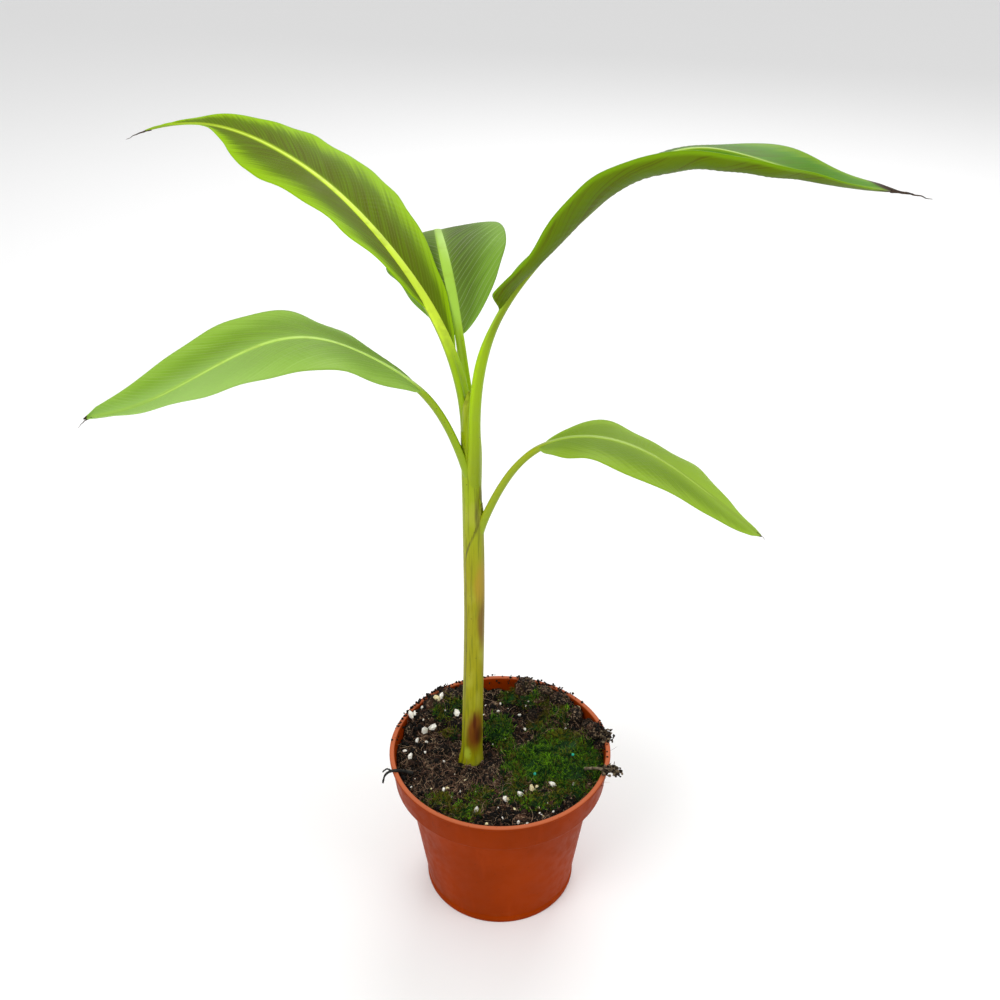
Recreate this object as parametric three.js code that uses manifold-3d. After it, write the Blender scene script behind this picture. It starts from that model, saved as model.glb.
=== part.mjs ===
// A young banana plant in its round nursery pot: pot, soil, moss, pseudostem, five petioles and five
// leaf blades. Millimetres, +Z up, origin at the centre of the pot's underside, the pot axis on Z.
import * as THREE from "three";
import { mergeVertices } from "three/addons/utils/BufferGeometryUtils.js";
import Module from "manifold-3d";

const wasm = await Module();
wasm.setup();

// ---- driving dimensions ----
const GAP = 0.3; // clearance left between pieces that touch
const FACETS = 40; // facets round the pot and the soil

const POT_HEIGHT = 92;
const RIM_RADIUS = 60;
const COLLAR_HEIGHT = 18; // the wider band under the rim
const COLLAR_FOOT_RADIUS = 57.4;
const BODY_TOP_RADIUS = 51.2;
const BASE_RADIUS = 41.8;
const WALL = 1.6;
const FLOOR_TOP = 3.6;
const RECESS = 2; // how far the underside's ring-shaped recess is raised
const RECESS_INNER = 14;
const RECESS_OUTER = 36.5;
const DRAIN_COUNT = 8;
const DRAIN_RADIUS = 4;
const DRAIN_RING = 26;

const SOIL_TOP = 84;
const SOIL_RINGS = [56.2, 51, 45, 38, 30, 20, 10]; // radii, from the soil's edge inwards
const SOIL_HEAPS = [
  { x: -33, y: 37, reach: 16, height: 9 },
  { x: 15, y: 45, reach: 12, height: 9 },
  { x: -30, y: -30, reach: 14, height: 2.5 },
];
const MOSS_FRONT = { x: 29, y: -5, rx: 24, ry: 18, height: 4 };
const MOSS_BACK = { x: -1, y: 20, rx: 8, ry: 11, height: 5 };
const MOSS_EDGE = 0.7; // how thick a cushion is at its edge
const MOSS_RINGS = [0.85, 0.6, 0.3];
const MOSS_SIDES = 24;

const STEM_FOOT = [-15.3, 0];
const STEM_HEAD = [-13, 0];
const STEM_TOP = 283.7;
// height above the soil against radius: a flare at the soil, then a slow swelling under the axils
const STEM_RADII = [[0, 7.6], [3, 6.6], [9, 5.9], [60, 5.2], [145, 5.8], [200, 5.6]];
const STEM_SIDES = 20;

// One entry per leaf. at: the axil. length: petiole and blade along the midrib. blade: where the blade
// starts, as a share of it. thick: petiole radii, foot and head. roll: degrees at the axil, fading to none.
// full: below 1 the outline is blunter than a sine. rise, heading: degrees, evenly spaced from axil to tip.
// left, right: a half's greatest width, and where it lies and where the half ends, as shares of the blade;
// fold, curl: degrees at the rib and added by the margin; waves: depth, number and first crest.
const LEAVES = {
  lower_right: {
    at: [-12, 0, 228], length: 184, blade: 0.38, thick: [2.4, 1.9], roll: 0, full: 0.8,
    rise: [70, 58, 17, -24, -31], heading: [-25, -30, -25],
    left: {
      width: 17, widest: 0.45, end: 1,
      fold: [12, -5, 0], curl: [0, -25, -20], waves: [0.2, 2.2, 0.18],
    },
    right: { width: 22, widest: 0.45, end: 1, fold: [0, 10, 15], curl: [-20, -5, -10] },
  },
  lower_left: {
    at: [-13, -1, 258], length: 218, blade: 0.28, thick: [2.4, 2], roll: -15, full: 0.8,
    rise: [75, 66, 43, 27, -15, -22, -2], heading: [200, 205, 195],
    left: { width: 22, widest: 0.45, end: 1, fold: [0, 0, 15], curl: [-25, -20, 15] },
    right: { width: 22, widest: 0.35, end: 1, fold: [5, 15, 40], curl: [-25, -5, 30] },
  },
  upper_right: {
    at: [-12, -3, 284], length: 262, blade: 0.18, thick: [3, 3], roll: -20, full: 1,
    rise: [90, 79, 57, 46, 38, -11, -16, -6], heading: [0, -5, 5],
    left: {
      width: 27, widest: 0.5, end: 1,
      fold: [50, 15, 5, -8, 20, 15], curl: [0, -10, -20, -20, -10, 0],
    },
    right: {
      width: 28, widest: 0.5, end: 1,
      fold: [60, -30, -10, -60, -30, 0], curl: [30, 100, 90, 140, 90, 30],
    },
  },
  upper_left: {
    at: [-15, 2, 284], length: 293, blade: 0.13, thick: [2.9, 2.9], roll: 5, full: 1,
    rise: [88, 40, 14, 3, -18], heading: [142, 130, 150],
    left: {
      width: 22, widest: 0.46, end: 0.83,
      fold: [30, 15, -5, 10], curl: [10, -10, 10], waves: [0.12, 2.5, 0.2],
    },
    right: { width: 25, widest: 0.42, end: 0.92, fold: [15, 10, 25], curl: [-25, -15, 10] },
  },
  centre: {
    at: [-12, 6, 284], length: 180, blade: 0.25, thick: [2.3, 2.1], roll: 0, full: 0.8,
    rise: [70, 66, 14, -27, -50], heading: [120, 100, 85],
    left: { width: 27, widest: 0.45, end: 1, fold: [-30, -15, 5], curl: [5, -10, -5] },
    right: { width: 30, widest: 0.47, end: 1, fold: [5, 10, 20], curl: [-20, -12, 0] },
  },
};
const LEAST_WIDTH = 1.5; // half width that the blade keeps at its base and tip
const ROLL_FADES = 0.5; // share of the midrib at which the roll is gone

const BLADE_STEPS = 9; // rows along each half of a blade
const BLADE_COLUMNS = 4; // columns from the midrib to a margin
const BLADE_FIRST = 0.04; // the blade's first row, as a share of the blade
const BLADE_LAST = 0.97;
const BLADE_SPLIT = 0.5; // where the blade is split at its bend
const RIB_THICKNESS = 2.6;
const BLADE_THICKNESS = 1.2;
const MIDRIB_STEPS = 240;
const PETIOLE_SIDES = 12;
const PETIOLE_STEPS = 12;

// ---- materials ----
function paint(color, roughness) {
  return new THREE.MeshStandardMaterial({ color, roughness, metalness: 0 });
}

// ---- helpers ----
const radians = (degrees) => (degrees * Math.PI) / 180;
const vec = (x, y, z) => new THREE.Vector3(x, y, z);

// Smooth value at t (0 to 1) through evenly spaced knots.
function smooth(knots, t) {
  const last = knots.length - 1;
  const x = Math.min(Math.max(t, 0), 1) * last;
  const i = Math.min(Math.floor(x), last - 1);
  const f = x - i;
  const [a, b, c, d] = [knots[Math.max(i - 1, 0)], knots[i], knots[i + 1], knots[Math.min(i + 2, last)]];
  return 0.5 * (2 * b + (c - a) * f + (2 * a - 5 * b + 4 * c - d) * f * f + (3 * b - a - 3 * c + d) * f ** 3);
}

// Straight-line value at x through [x, value] pairs.
function through(pairs, x) {
  const i = Math.max(1, pairs.findIndex((p) => p[0] >= x));
  const [[x0, v0], [x1, v1]] = [pairs[i - 1], pairs[i]];
  return v0 + ((v1 - v0) * (x - x0)) / (x1 - x0);
}

// A closed body from rings of points: quads between rings, and each end closed by a strip.
function skin(rings) {
  const n = rings[0].length;
  const index = [];
  for (let j = 0; j + 1 < rings.length; j++) {
    for (let i = 0; i < n; i++) {
      const [a, b] = [j * n + i, j * n + ((i + 1) % n)];
      index.push(a, b, b + n, a, b + n, a + n);
    }
  }
  const end = (rings.length - 1) * n;
  for (let i = 0; i < n / 2 - 1; i++) {
    const [p, q, r, s] = [i, i + 1, n - 2 - i, n - 1 - i];
    if (q !== r) index.push(p, r, q, end + p, end + q, end + r);
    index.push(p, s, r, end + p, end + r, end + s);
  }
  return indexed(rings.flat(), index);
}

// A closed body from rings that close on a point at the bottom and on a point at the top.
function shell(bottom, rings, top) {
  const n = rings[0].length;
  const points = [...rings.flat(), bottom, top];
  const last = rings.length - 1;
  const index = [];
  for (let i = 0; i < n; i++) {
    const k = (i + 1) % n;
    for (let j = 0; j < last; j++) {
      const [a, b] = [j * n + i, j * n + k];
      index.push(a, b, b + n, a, b + n, a + n);
    }
    index.push(n * rings.length, k, i, n * rings.length + 1, last * n + i, last * n + k);
  }
  return indexed(points, index);
}

function indexed(points, index) {
  const g = new THREE.BufferGeometry().setFromPoints(points);
  g.setIndex(index);
  return g;
}

function solid(geometry) {
  const g = geometry.clone();
  g.deleteAttribute("normal");
  g.deleteAttribute("uv");
  const m = mergeVertices(g, 1e-4);
  const mesh = new wasm.Mesh({
    numProp: 3,
    vertProperties: m.attributes.position.array,
    triVerts: new Uint32Array(m.index.array),
  });
  return new wasm.Manifold(mesh);
}

function geometryOf(body) {
  const m = body.getMesh();
  const g = new THREE.BufferGeometry();
  g.setAttribute("position", new THREE.BufferAttribute(new Float32Array(m.vertProperties), 3));
  g.setIndex(new THREE.BufferAttribute(new Uint32Array(m.triVerts), 1));
  return g;
}

// ---- pot ----
// The step inside the wall, from the body up to the collar: radius and height.
const STEP_TOP = POT_HEIGHT - COLLAR_HEIGHT + WALL;
const STEP = [
  [BODY_TOP_RADIUS - WALL, STEP_TOP - 1.2],
  [BODY_TOP_RADIUS - WALL + 1, STEP_TOP],
  [COLLAR_FOOT_RADIUS - WALL, STEP_TOP],
];

function potProfile() {
  const collarFoot = POT_HEIGHT - COLLAR_HEIGHT;
  return [
    [0, 0], [RECESS_INNER - 1, 0], [RECESS_INNER, RECESS], [RECESS_OUTER, RECESS], [RECESS_OUTER + 0.8, 0],
    [BASE_RADIUS - 0.6, 0], [BASE_RADIUS, 0.6], [BASE_RADIUS, 3.6], [BASE_RADIUS - 0.5, 4.2],
    [BODY_TOP_RADIUS, collarFoot], [COLLAR_FOOT_RADIUS, collarFoot],
    [RIM_RADIUS - 1, POT_HEIGHT - 2], [RIM_RADIUS, POT_HEIGHT - 1.6], [RIM_RADIUS, POT_HEIGHT - 0.5],
    [RIM_RADIUS - 0.6, POT_HEIGHT], [RIM_RADIUS - 2.2, POT_HEIGHT], [RIM_RADIUS - 2.7, POT_HEIGHT - 0.6],
    STEP[2], STEP[1], STEP[0], [BASE_RADIUS - WALL - 0.4, FLOOR_TOP], [0, FLOOR_TOP],
  ].map(([r, z]) => new THREE.Vector2(r, z));
}

function drain(k) {
  const a = (2 * Math.PI * (k + 0.5)) / DRAIN_COUNT;
  const hole = new THREE.CylinderGeometry(DRAIN_RADIUS, DRAIN_RADIUS, 12, 16).rotateX(Math.PI / 2);
  return solid(hole.translate(DRAIN_RING * Math.cos(a), DRAIN_RING * Math.sin(a), 0));
}

function pot() {
  const turned = new THREE.LatheGeometry(potProfile(), FACETS).rotateX(Math.PI / 2);
  let body = solid(turned);
  for (let k = 0; k < DRAIN_COUNT; k++) body = body.subtract(drain(k));
  return geometryOf(body);
}

// ---- soil and moss ----
function soilLevel(x, y) {
  let z = SOIL_TOP;
  for (const h of SOIL_HEAPS) {
    const d = Math.hypot(x - h.x, y - h.y) / h.reach;
    z += h.height * Math.max(0, 1 - d * d) ** 2;
  }
  return z;
}

function circle(count, place) {
  return Array.from({ length: count }, (_, i) => place((2 * Math.PI * i) / count));
}

function soil() {
  const wall = [[BASE_RADIUS - WALL - 0.8, FLOOR_TOP + GAP], ...STEP.map(([r, z]) => [r - 0.4, z + 0.4])];
  const rings = wall.map(([r, z]) => circle(FACETS, (a) => vec(r * Math.cos(a), r * Math.sin(a), z)));
  for (const r of SOIL_RINGS) {
    rings.push(circle(FACETS, (a) => {
      const [x, y] = [r * Math.cos(a), r * Math.sin(a)];
      return vec(x, y, soilLevel(x, y));
    }));
  }
  return shell(vec(0, 0, FLOOR_TOP + GAP), rings, vec(0, 0, SOIL_TOP));
}

function moss({ x, y, rx, ry, height }) {
  const foot = SOIL_TOP + GAP;
  const edge = foot + MOSS_EDGE;
  const ring = (share, z) => circle(MOSS_SIDES, (a) => {
    return vec(x + share * rx * Math.cos(a), y + share * ry * Math.sin(a), z);
  });
  const rings = [ring(1, foot), ring(1, edge)];
  for (const share of MOSS_RINGS) rings.push(ring(share, edge + height * (1 - share * share)));
  return shell(vec(x, y, foot), rings, vec(x, y, edge + height));
}

// ---- pseudostem ----
function stem(extra = 0) {
  const foot = SOIL_TOP + GAP;
  const heights = [...STEM_RADII.map(([h]) => h).slice(0, -1), STEM_TOP - foot];
  const rings = heights.map((h, i) => {
    const share = h / (STEM_TOP - foot);
    const x = STEM_FOOT[0] + (STEM_HEAD[0] - STEM_FOOT[0]) * share;
    const r = through(STEM_RADII, h) + extra;
    const z = foot + h + (i === heights.length - 1 ? extra : 0);
    return circle(STEM_SIDES, (a) => vec(x + r * Math.cos(a), r * Math.sin(a), z));
  });
  return skin(rings);
}

// ---- leaves ----
// Points and directions along a leaf's midrib: the rise and heading angles, added up along its length.
function midrib(leaf) {
  const steps = MIDRIB_STEPS;
  const line = [];
  let p = vec(...leaf.at);
  let before = null;
  for (let i = 0; i <= steps; i++) {
    const t = i / steps;
    const turn = leaf.roll * Math.max(0, 1 - t / ROLL_FADES);
    const [e, a, r] = [smooth(leaf.rise, t), smooth(leaf.heading, t), turn].map(radians);
    const along = vec(Math.cos(e) * Math.cos(a), Math.cos(e) * Math.sin(a), Math.sin(e));
    const side = vec(-Math.sin(a), Math.cos(a), 0).applyAxisAngle(along, r);
    const up = vec().crossVectors(along, side);
    if (before) p = p.clone().addScaledVector(before.clone().add(along), leaf.length / steps / 2);
    before = along;
    line.push({ p, along, side, up });
  }
  return line;
}

// The point and directions of a midrib at t (0 at the axil, 1 at the tip).
function place(line, t) {
  const x = Math.min(t, 1) * (line.length - 1);
  const i = Math.min(Math.floor(x), line.length - 2);
  const mix = (key) => line[i][key].clone().lerp(line[i + 1][key], x - i);
  const [along, side, up] = ["along", "side", "up"].map((key) => mix(key).normalize());
  return { p: mix("p"), along, side, up };
}

// Half width at u (0 at the blade's base, 1 at its tip): a sine over the half's length, bent so that it
// peaks at the widest place, with waves along the margin.
function halfWidth({ width, widest, end, waves = [0, 1, 0] }, full, u) {
  const bend = Math.log(0.5) / Math.log(widest / end);
  const outline = Math.max(0, Math.sin(Math.PI * Math.min(1, u / end) ** bend)) ** full;
  const [deep, count, crest] = waves;
  return width * outline * (1 + deep * Math.cos(2 * Math.PI * count * (u - crest))) + LEAST_WIDTH;
}

// One row across the blade at u (0 at its base, 1 at its tip): a closed ring, upper face then lower.
function bladeRow(leaf, line, u) {
  const at = place(line, leaf.blade + u * (1 - leaf.blade));
  const rib = RIB_THICKNESS + (BLADE_THICKNESS - RIB_THICKNESS) * u;
  const wing = (sign, half) => {
    const [reach, fold, curl] = [halfWidth(half, leaf.full, u), smooth(half.fold, u), smooth(half.curl, u)];
    const points = [];
    let p = at.p.clone();
    for (let j = 1; j <= BLADE_COLUMNS; j++) {
      const angle = radians(fold + (curl * (j - 0.5)) / BLADE_COLUMNS);
      const [c, s] = [Math.cos(angle) * sign, Math.sin(angle)];
      p = p.clone().addScaledVector(at.side, (c * reach) / BLADE_COLUMNS);
      p.addScaledVector(at.up, (s * reach) / BLADE_COLUMNS);
      const normal = at.side.clone().multiplyScalar(-s * sign).addScaledVector(at.up, c * sign);
      points.push({ p, normal });
    }
    return points;
  };
  const [left, right] = [wing(1, leaf.left), wing(-1, leaf.right)];
  const across = [...left.reverse(), { p: at.p, normal: at.up, rib: true }, ...right];
  const face = (side) => across.map(({ p, normal, rib: mid }) => {
    return p.clone().addScaledVector(normal, (side * (mid ? rib : BLADE_THICKNESS)) / 2);
  });
  return [...face(1), ...face(-1).reverse()];
}

function blade(leaf, line, from, to) {
  const rows = [];
  for (let k = 0; k <= BLADE_STEPS; k++) {
    rows.push(bladeRow(leaf, line, from + ((to - from) * k) / BLADE_STEPS));
  }
  return skin(rows);
}

function petiole(leaf, line, extra = 0) {
  const end = (leaf.blade + BLADE_FIRST * (1 - leaf.blade)) - (GAP + 0.1 - extra) / leaf.length;
  const rings = [];
  for (let k = 0; k <= PETIOLE_STEPS; k++) {
    const share = k / PETIOLE_STEPS;
    const at = place(line, end * share);
    if (k === 0) at.p.addScaledVector(at.along, -2 * extra);
    const r = leaf.thick[0] + (leaf.thick[1] - leaf.thick[0]) * share + extra;
    rings.push(circle(PETIOLE_SIDES, (a) => {
      return at.p.clone().addScaledVector(at.side, r * Math.cos(a)).addScaledVector(at.up, r * Math.sin(a));
    }));
  }
  return skin(rings);
}

// ---- the plant ----
const plant = new THREE.Group();
plant.name = "banana_plant";

function add(name, geometry, material) {
  const mesh = new THREE.Mesh(geometry, material);
  mesh.name = name;
  plant.add(mesh);
}

add("pot", pot(), paint(0xb4562b, 0.5));
add("soil", soil(), paint(0x2e2219, 0.95));
add("moss_front", moss(MOSS_FRONT), paint(0x3f7d1c, 0.95));
add("moss_back", moss(MOSS_BACK), paint(0x5c7a2a, 0.95));
add("pseudostem", stem(), paint(0x9fb04a, 0.45));

const wider = solid(stem(GAP));
const taken = [];
for (const name of ["upper_right", "upper_left", "centre", "lower_left", "lower_right"]) {
  const leaf = LEAVES[name];
  const line = midrib(leaf);
  let limb = solid(petiole(leaf, line));
  limb = limb.subtract(wider);
  for (const other of taken) limb = limb.subtract(other);
  taken.push(solid(petiole(leaf, line, GAP)));
  add(`petiole_${name}`, geometryOf(limb), paint(0xa9cf3a, 0.4));
  const slit = (GAP + 0.1) / (leaf.length * (1 - leaf.blade)) / 2;
  add(`leaf_${name}_base`, blade(leaf, line, BLADE_FIRST, BLADE_SPLIT - slit), paint(0x6fa83a, 0.45));
  add(`leaf_${name}_tip`, blade(leaf, line, BLADE_SPLIT + slit, BLADE_LAST), paint(0x6fa83a, 0.45));
}

export default plant;
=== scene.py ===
"""The looks of a potted young banana plant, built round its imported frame.

Metres, +Z up, origin at the centre of the pot's underside. Each operator makes one piece, or one group of
like pieces, as surfaces worked out with numpy; the stage operator adds the floor, the lights and the camera.
"""

import math

import bpy
import numpy as np
from bpy.props import FloatProperty, FloatVectorProperty, IntProperty, PointerProperty
from bpy.types import Operator, Panel, PropertyGroup
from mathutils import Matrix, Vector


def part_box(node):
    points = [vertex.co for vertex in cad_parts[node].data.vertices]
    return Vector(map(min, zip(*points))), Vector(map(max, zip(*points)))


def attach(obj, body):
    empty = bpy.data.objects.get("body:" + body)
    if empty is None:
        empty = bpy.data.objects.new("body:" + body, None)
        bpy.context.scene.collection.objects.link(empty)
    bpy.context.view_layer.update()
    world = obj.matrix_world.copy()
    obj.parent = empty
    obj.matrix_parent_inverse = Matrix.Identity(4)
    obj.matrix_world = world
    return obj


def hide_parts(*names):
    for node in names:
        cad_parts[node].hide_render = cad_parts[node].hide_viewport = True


bl_info = {
    "name": "Potted banana plant",
    "version": (1, 0, 0),
    "blender": (4, 5, 0),
    "location": "3D View > Sidebar > Banana plant",
    "description": "Builds a young banana plant in its nursery pot: pot, soil, moss, stem, petioles, blades",
    "category": "Object",
}

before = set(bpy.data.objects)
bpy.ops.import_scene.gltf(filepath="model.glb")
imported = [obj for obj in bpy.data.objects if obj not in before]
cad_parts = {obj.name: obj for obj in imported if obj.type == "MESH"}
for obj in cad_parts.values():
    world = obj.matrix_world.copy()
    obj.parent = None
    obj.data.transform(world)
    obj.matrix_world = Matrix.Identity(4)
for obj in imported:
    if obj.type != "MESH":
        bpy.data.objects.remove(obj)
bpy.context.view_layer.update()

MM = 0.001
POT_HIGH = np.array(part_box("pot")[1])
STEM_LOW, STEM_HIGH = (np.array(corner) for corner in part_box("pseudostem"))
MOSS_BOXES = {name: [np.array(corner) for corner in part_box(name)] for name in ("moss_front", "moss_back")}
SOIL_LEVEL = STEM_LOW[2] - 0.3 * MM
LEAF_NAMES = ("lower_right", "lower_left", "upper_right", "upper_left", "centre")

# One entry per leaf. at: the axil, mm. length: petiole and blade along the midrib, mm. blade: where the blade
# starts, as a share of it. thick: petiole radii, foot and head, mm. roll: degrees at the axil, then fading.
# full: below 1 the outline is blunter than a sine. rise, heading: degrees, evenly spaced from axil to tip.
# left, right, as seen from the axil: a half's greatest width, mm, and where it lies and where the half ends,
# as shares of the blade; fold, curl: degrees at the rib and added by the margin, evenly spaced along the
# blade; waves: depth, number and first crest.
LEAVES = {
    "lower_right": {
        "at": (-12, 0, 228), "length": 184, "blade": 0.38, "thick": (2.4, 1.9), "roll": 0, "full": 0.8,
        "rise": (70, 58, 17, -24, -31), "heading": (-25, -30, -25),
        "left": {"width": 17, "widest": 0.45, "end": 1, "fold": (12, -5, 0), "curl": (0, -25, -20),
                 "waves": (0.2, 2.2, 0.18)},
        "right": {"width": 22, "widest": 0.45, "end": 1, "fold": (0, 10, 15), "curl": (-20, -5, -10)},
    },
    "lower_left": {
        "at": (-13, -1, 258), "length": 218, "blade": 0.28, "thick": (2.4, 2), "roll": -15, "full": 0.8,
        "rise": (75, 66, 43, 27, -15, -22, -2), "heading": (200, 205, 195),
        "left": {"width": 22, "widest": 0.45, "end": 1, "fold": (0, 0, 15), "curl": (-25, -20, 15)},
        "right": {"width": 22, "widest": 0.35, "end": 1, "fold": (5, 15, 40), "curl": (-25, -5, 30)},
    },
    "upper_right": {
        "at": (-12, -3, 284), "length": 262, "blade": 0.18, "thick": (3, 3), "roll": -20, "full": 1,
        "rise": (90, 79, 57, 46, 38, -11, -16, -6), "heading": (0, -5, 5),
        "left": {"width": 27, "widest": 0.5, "end": 1, "fold": (50, 15, 5, -8, 20, 15),
                 "curl": (0, -10, -20, -20, -10, 0)},
        "right": {"width": 28, "widest": 0.5, "end": 1, "fold": (60, -30, -10, -60, -30, 0),
                  "curl": (30, 100, 90, 140, 90, 30)},
    },
    "upper_left": {
        "at": (-15, 2, 284), "length": 293, "blade": 0.13, "thick": (2.9, 2.9), "roll": 5, "full": 1,
        "rise": (88, 40, 14, 3, -18), "heading": (142, 130, 150),
        "left": {"width": 22, "widest": 0.46, "end": 0.83, "fold": (30, 15, -5, 10), "curl": (10, -10, 10),
                 "waves": (0.12, 2.5, 0.2)},
        "right": {"width": 25, "widest": 0.42, "end": 0.92, "fold": (15, 10, 25), "curl": (-25, -15, 10)},
    },
    "centre": {
        "at": (-12, 6, 284), "length": 180, "blade": 0.25, "thick": (2.3, 2.1), "roll": 0, "full": 0.8,
        "rise": (70, 66, 14, -27, -50), "heading": (120, 100, 85),
        "left": {"width": 27, "widest": 0.45, "end": 1, "fold": (-30, -15, 5), "curl": (5, -10, -5)},
        "right": {"width": 30, "widest": 0.47, "end": 1, "fold": (5, 10, 20), "curl": (-20, -12, 0)},
    },
}
LEAST_WIDTH = 1.5 * MM  # added to a blade's half width all along
ROLL_FADES = 0.5  # share of the midrib at which the roll is gone


def tone(red, green, blue):
    """A display colour, 0 to 255, as the linear colour that the shaders take."""
    def linear(value):
        share = value / 255
        return share / 12.92 if share <= 0.04045 else ((share + 0.055) / 1.055) ** 2.4
    return (linear(red), linear(green), linear(blue))


# Each leaf's colours: body, margin (brighter than the body: painted glow of light through the thin edge), the
# olive zone beside the midrib, side veins, rib, the tone that the under side is drawn to, the rib's under
# side, the petiole, and the glow of the left half towards the tip; None stands for no glow and for the
# petiole colour
# in the settings. zone_share, under_share: how strong those two tones are. gloss: the upper face's specular
# level. dry: the share of the blade, from its tip, that has withered. slant: how far a side vein runs along
# the
# blade for each step across it. scallop: how uneven the margins are, as a share of the half width.
# start_left,
# start_right: where that half widens from the rib, as shares of the blade.
USUAL_LOOK = {"under": tone(140, 170, 70), "rib_under": tone(132, 156, 30), "petiole": None, "glow": None,
              "under_share": 0.6, "gloss": 0.12, "slant": 2.1, "start_left": (-1, 0), "start_right": (-1, 0)}
LOOKS = {name: USUAL_LOOK | own for name, own in {
    "lower_right": {
        "body": tone(138, 172, 30), "margin": tone(160, 194, 48), "zone": tone(110, 140, 34),
        "vein": tone(182, 208, 100), "rib": tone(152, 182, 60), "under": tone(140, 168, 70),
        "petiole": tone(148, 162, 16), "glow": tone(172, 206, 60),
        "scallop": 0.02, "zone_share": 0.35, "dry": 0.006,
    },
    "lower_left": {
        "body": tone(142, 184, 52), "margin": tone(160, 200, 70), "zone": tone(116, 146, 44),
        "vein": tone(196, 220, 140), "rib": tone(176, 212, 92),
        "petiole": tone(140, 168, 6), "glow": tone(176, 214, 116),
        "scallop": 0.012, "zone_share": 0.55, "dry": 0.006,
    },
    "upper_right": {
        "body": tone(96, 160, 24), "margin": tone(136, 180, 14), "zone": tone(98, 98, 4),
        # This leaf's under tone is dark olive: painted shade, for the under side of its right half, which
        # lies in shadow.
        "vein": tone(136, 172, 50), "rib": tone(150, 184, 40), "under": tone(104, 118, 0),
        "rib_under": tone(120, 140, 10), "petiole": tone(160, 196, 2), "under_share": 0.75,
        "start_left": (0.075, 0.125), "start_right": (0.075, 0.125),
        "scallop": 0.05, "zone_share": 0.6, "dry": 0.035,
    },
    "upper_left": {
        "body": tone(116, 148, 2), "margin": tone(170, 214, 0), "zone": tone(94, 100, 8),
        "vein": tone(176, 190, 92), "rib": tone(206, 232, 56), "under": tone(140, 176, 40),
        "start_left": (0.08, 0.13), "gloss": 0.06, "scallop": 0.035, "zone_share": 0.8, "dry": 0,
    },
    "centre": {
        "body": tone(112, 150, 38), "margin": tone(136, 180, 56), "zone": tone(80, 96, 30),
        "vein": tone(204, 220, 164), "rib": tone(162, 202, 70), "glow": tone(160, 196, 76),
        "slant": 1.3, "scallop": 0.025, "zone_share": 0.75, "dry": 0,
    },
}.items()}


# ---- numbers ----
def knots(values, t):
    """Smooth values at shares t, through evenly spaced ones: each stretch is the cubic whose slope at a
    knot is half the step between that knot's two neighbours."""
    v = np.asarray(values, float)
    last = len(v) - 1
    x = np.clip(t, 0, 1) * last
    i = np.minimum(np.floor(x).astype(int), last - 1)
    f = (x - i).reshape(x.shape + (1,) * (v.ndim - 1))
    a, b, c, d = v[np.maximum(i - 1, 0)], v[i], v[i + 1], v[np.minimum(i + 2, last)]
    return 0.5 * (2 * b + (c - a) * f + (2 * a - 5 * b + 4 * c - d) * f**2 + (3 * b - a - 3 * c + d) * f**3)


def unit(vectors):
    """Vectors scaled to length one."""
    return vectors / np.linalg.norm(vectors, axis=-1, keepdims=True)


def ease(x, low, high):
    """0 below low and 1 above high, with the smooth cubic 3s^2 - 2s^3 between."""
    s = np.clip((x - low) / (high - low), 0, 1)
    return s * s * (3 - 2 * s)


def drift(points, wavelength, seed, waves=14):
    """Smooth noise of about -1 to 1: the sum of sine waves in random directions, near one wavelength."""
    draw = np.random.default_rng(seed)
    count = points.shape[-1]
    lengths = 2 * math.pi / wavelength * draw.uniform(0.55, 1.5, (waves, 1))
    directions = unit(draw.normal(size=(waves, count))) * lengths
    phases = draw.uniform(0, 2 * math.pi, waves)
    return np.sin(points @ directions.T + phases).sum(axis=-1) / math.sqrt(2 * waves)


def turns(count, draw):
    """Random turns, as count matrices of 3 by 3, from random unit quaternions."""
    w, x, y, z = unit(draw.normal(size=(count, 4))).T
    rows = [[1 - 2 * (y * y + z * z), 2 * (x * y - z * w), 2 * (x * z + y * w)],
            [2 * (x * y + z * w), 1 - 2 * (x * x + z * z), 2 * (y * z - x * w)],
            [2 * (x * z - y * w), 2 * (y * z + x * w), 1 - 2 * (x * x + y * y)]]
    return np.moveaxis(np.array(rows), 2, 0)


def circle(count):
    """Evenly spaced angles all the way round."""
    return np.arange(count) * 2 * math.pi / count


def polar(radius, angle, height):
    """Points at a radius and an angle about the upright axis, at a height."""
    return np.stack(np.broadcast_arrays(radius * np.cos(angle), radius * np.sin(angle), height), axis=-1)


# ---- meshes ----
def lattice(rows, columns, wrap=False):
    """Quads of a grid of points numbered row by row. wrap joins each row's last point to its first."""
    i = np.arange(rows - 1)[:, None]
    j = np.arange(columns if wrap else columns - 1)[None, :]
    a, b = i * columns + j, i * columns + (j + 1) % columns
    return np.stack([a, b, b + columns, a + columns], axis=-1).reshape(-1, 4)


def capped(rings):
    """A closed surface from rings of points (rows, columns, 3): quads between, and a fan over each end."""
    rows, columns = rings.shape[:2]
    points = np.concatenate([rings.reshape(-1, 3), rings[[0, -1]].mean(axis=1)])
    a = np.arange(columns)
    b = (a + 1) % columns
    top, middle = (rows - 1) * columns, rows * columns
    foot = np.stack([np.full(columns, middle), b, a], axis=1)
    head = np.stack([np.full(columns, middle + 1), top + a, top + b], axis=1)
    return points, lattice(rows, columns, wrap=True), np.concatenate([foot, head])


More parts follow.
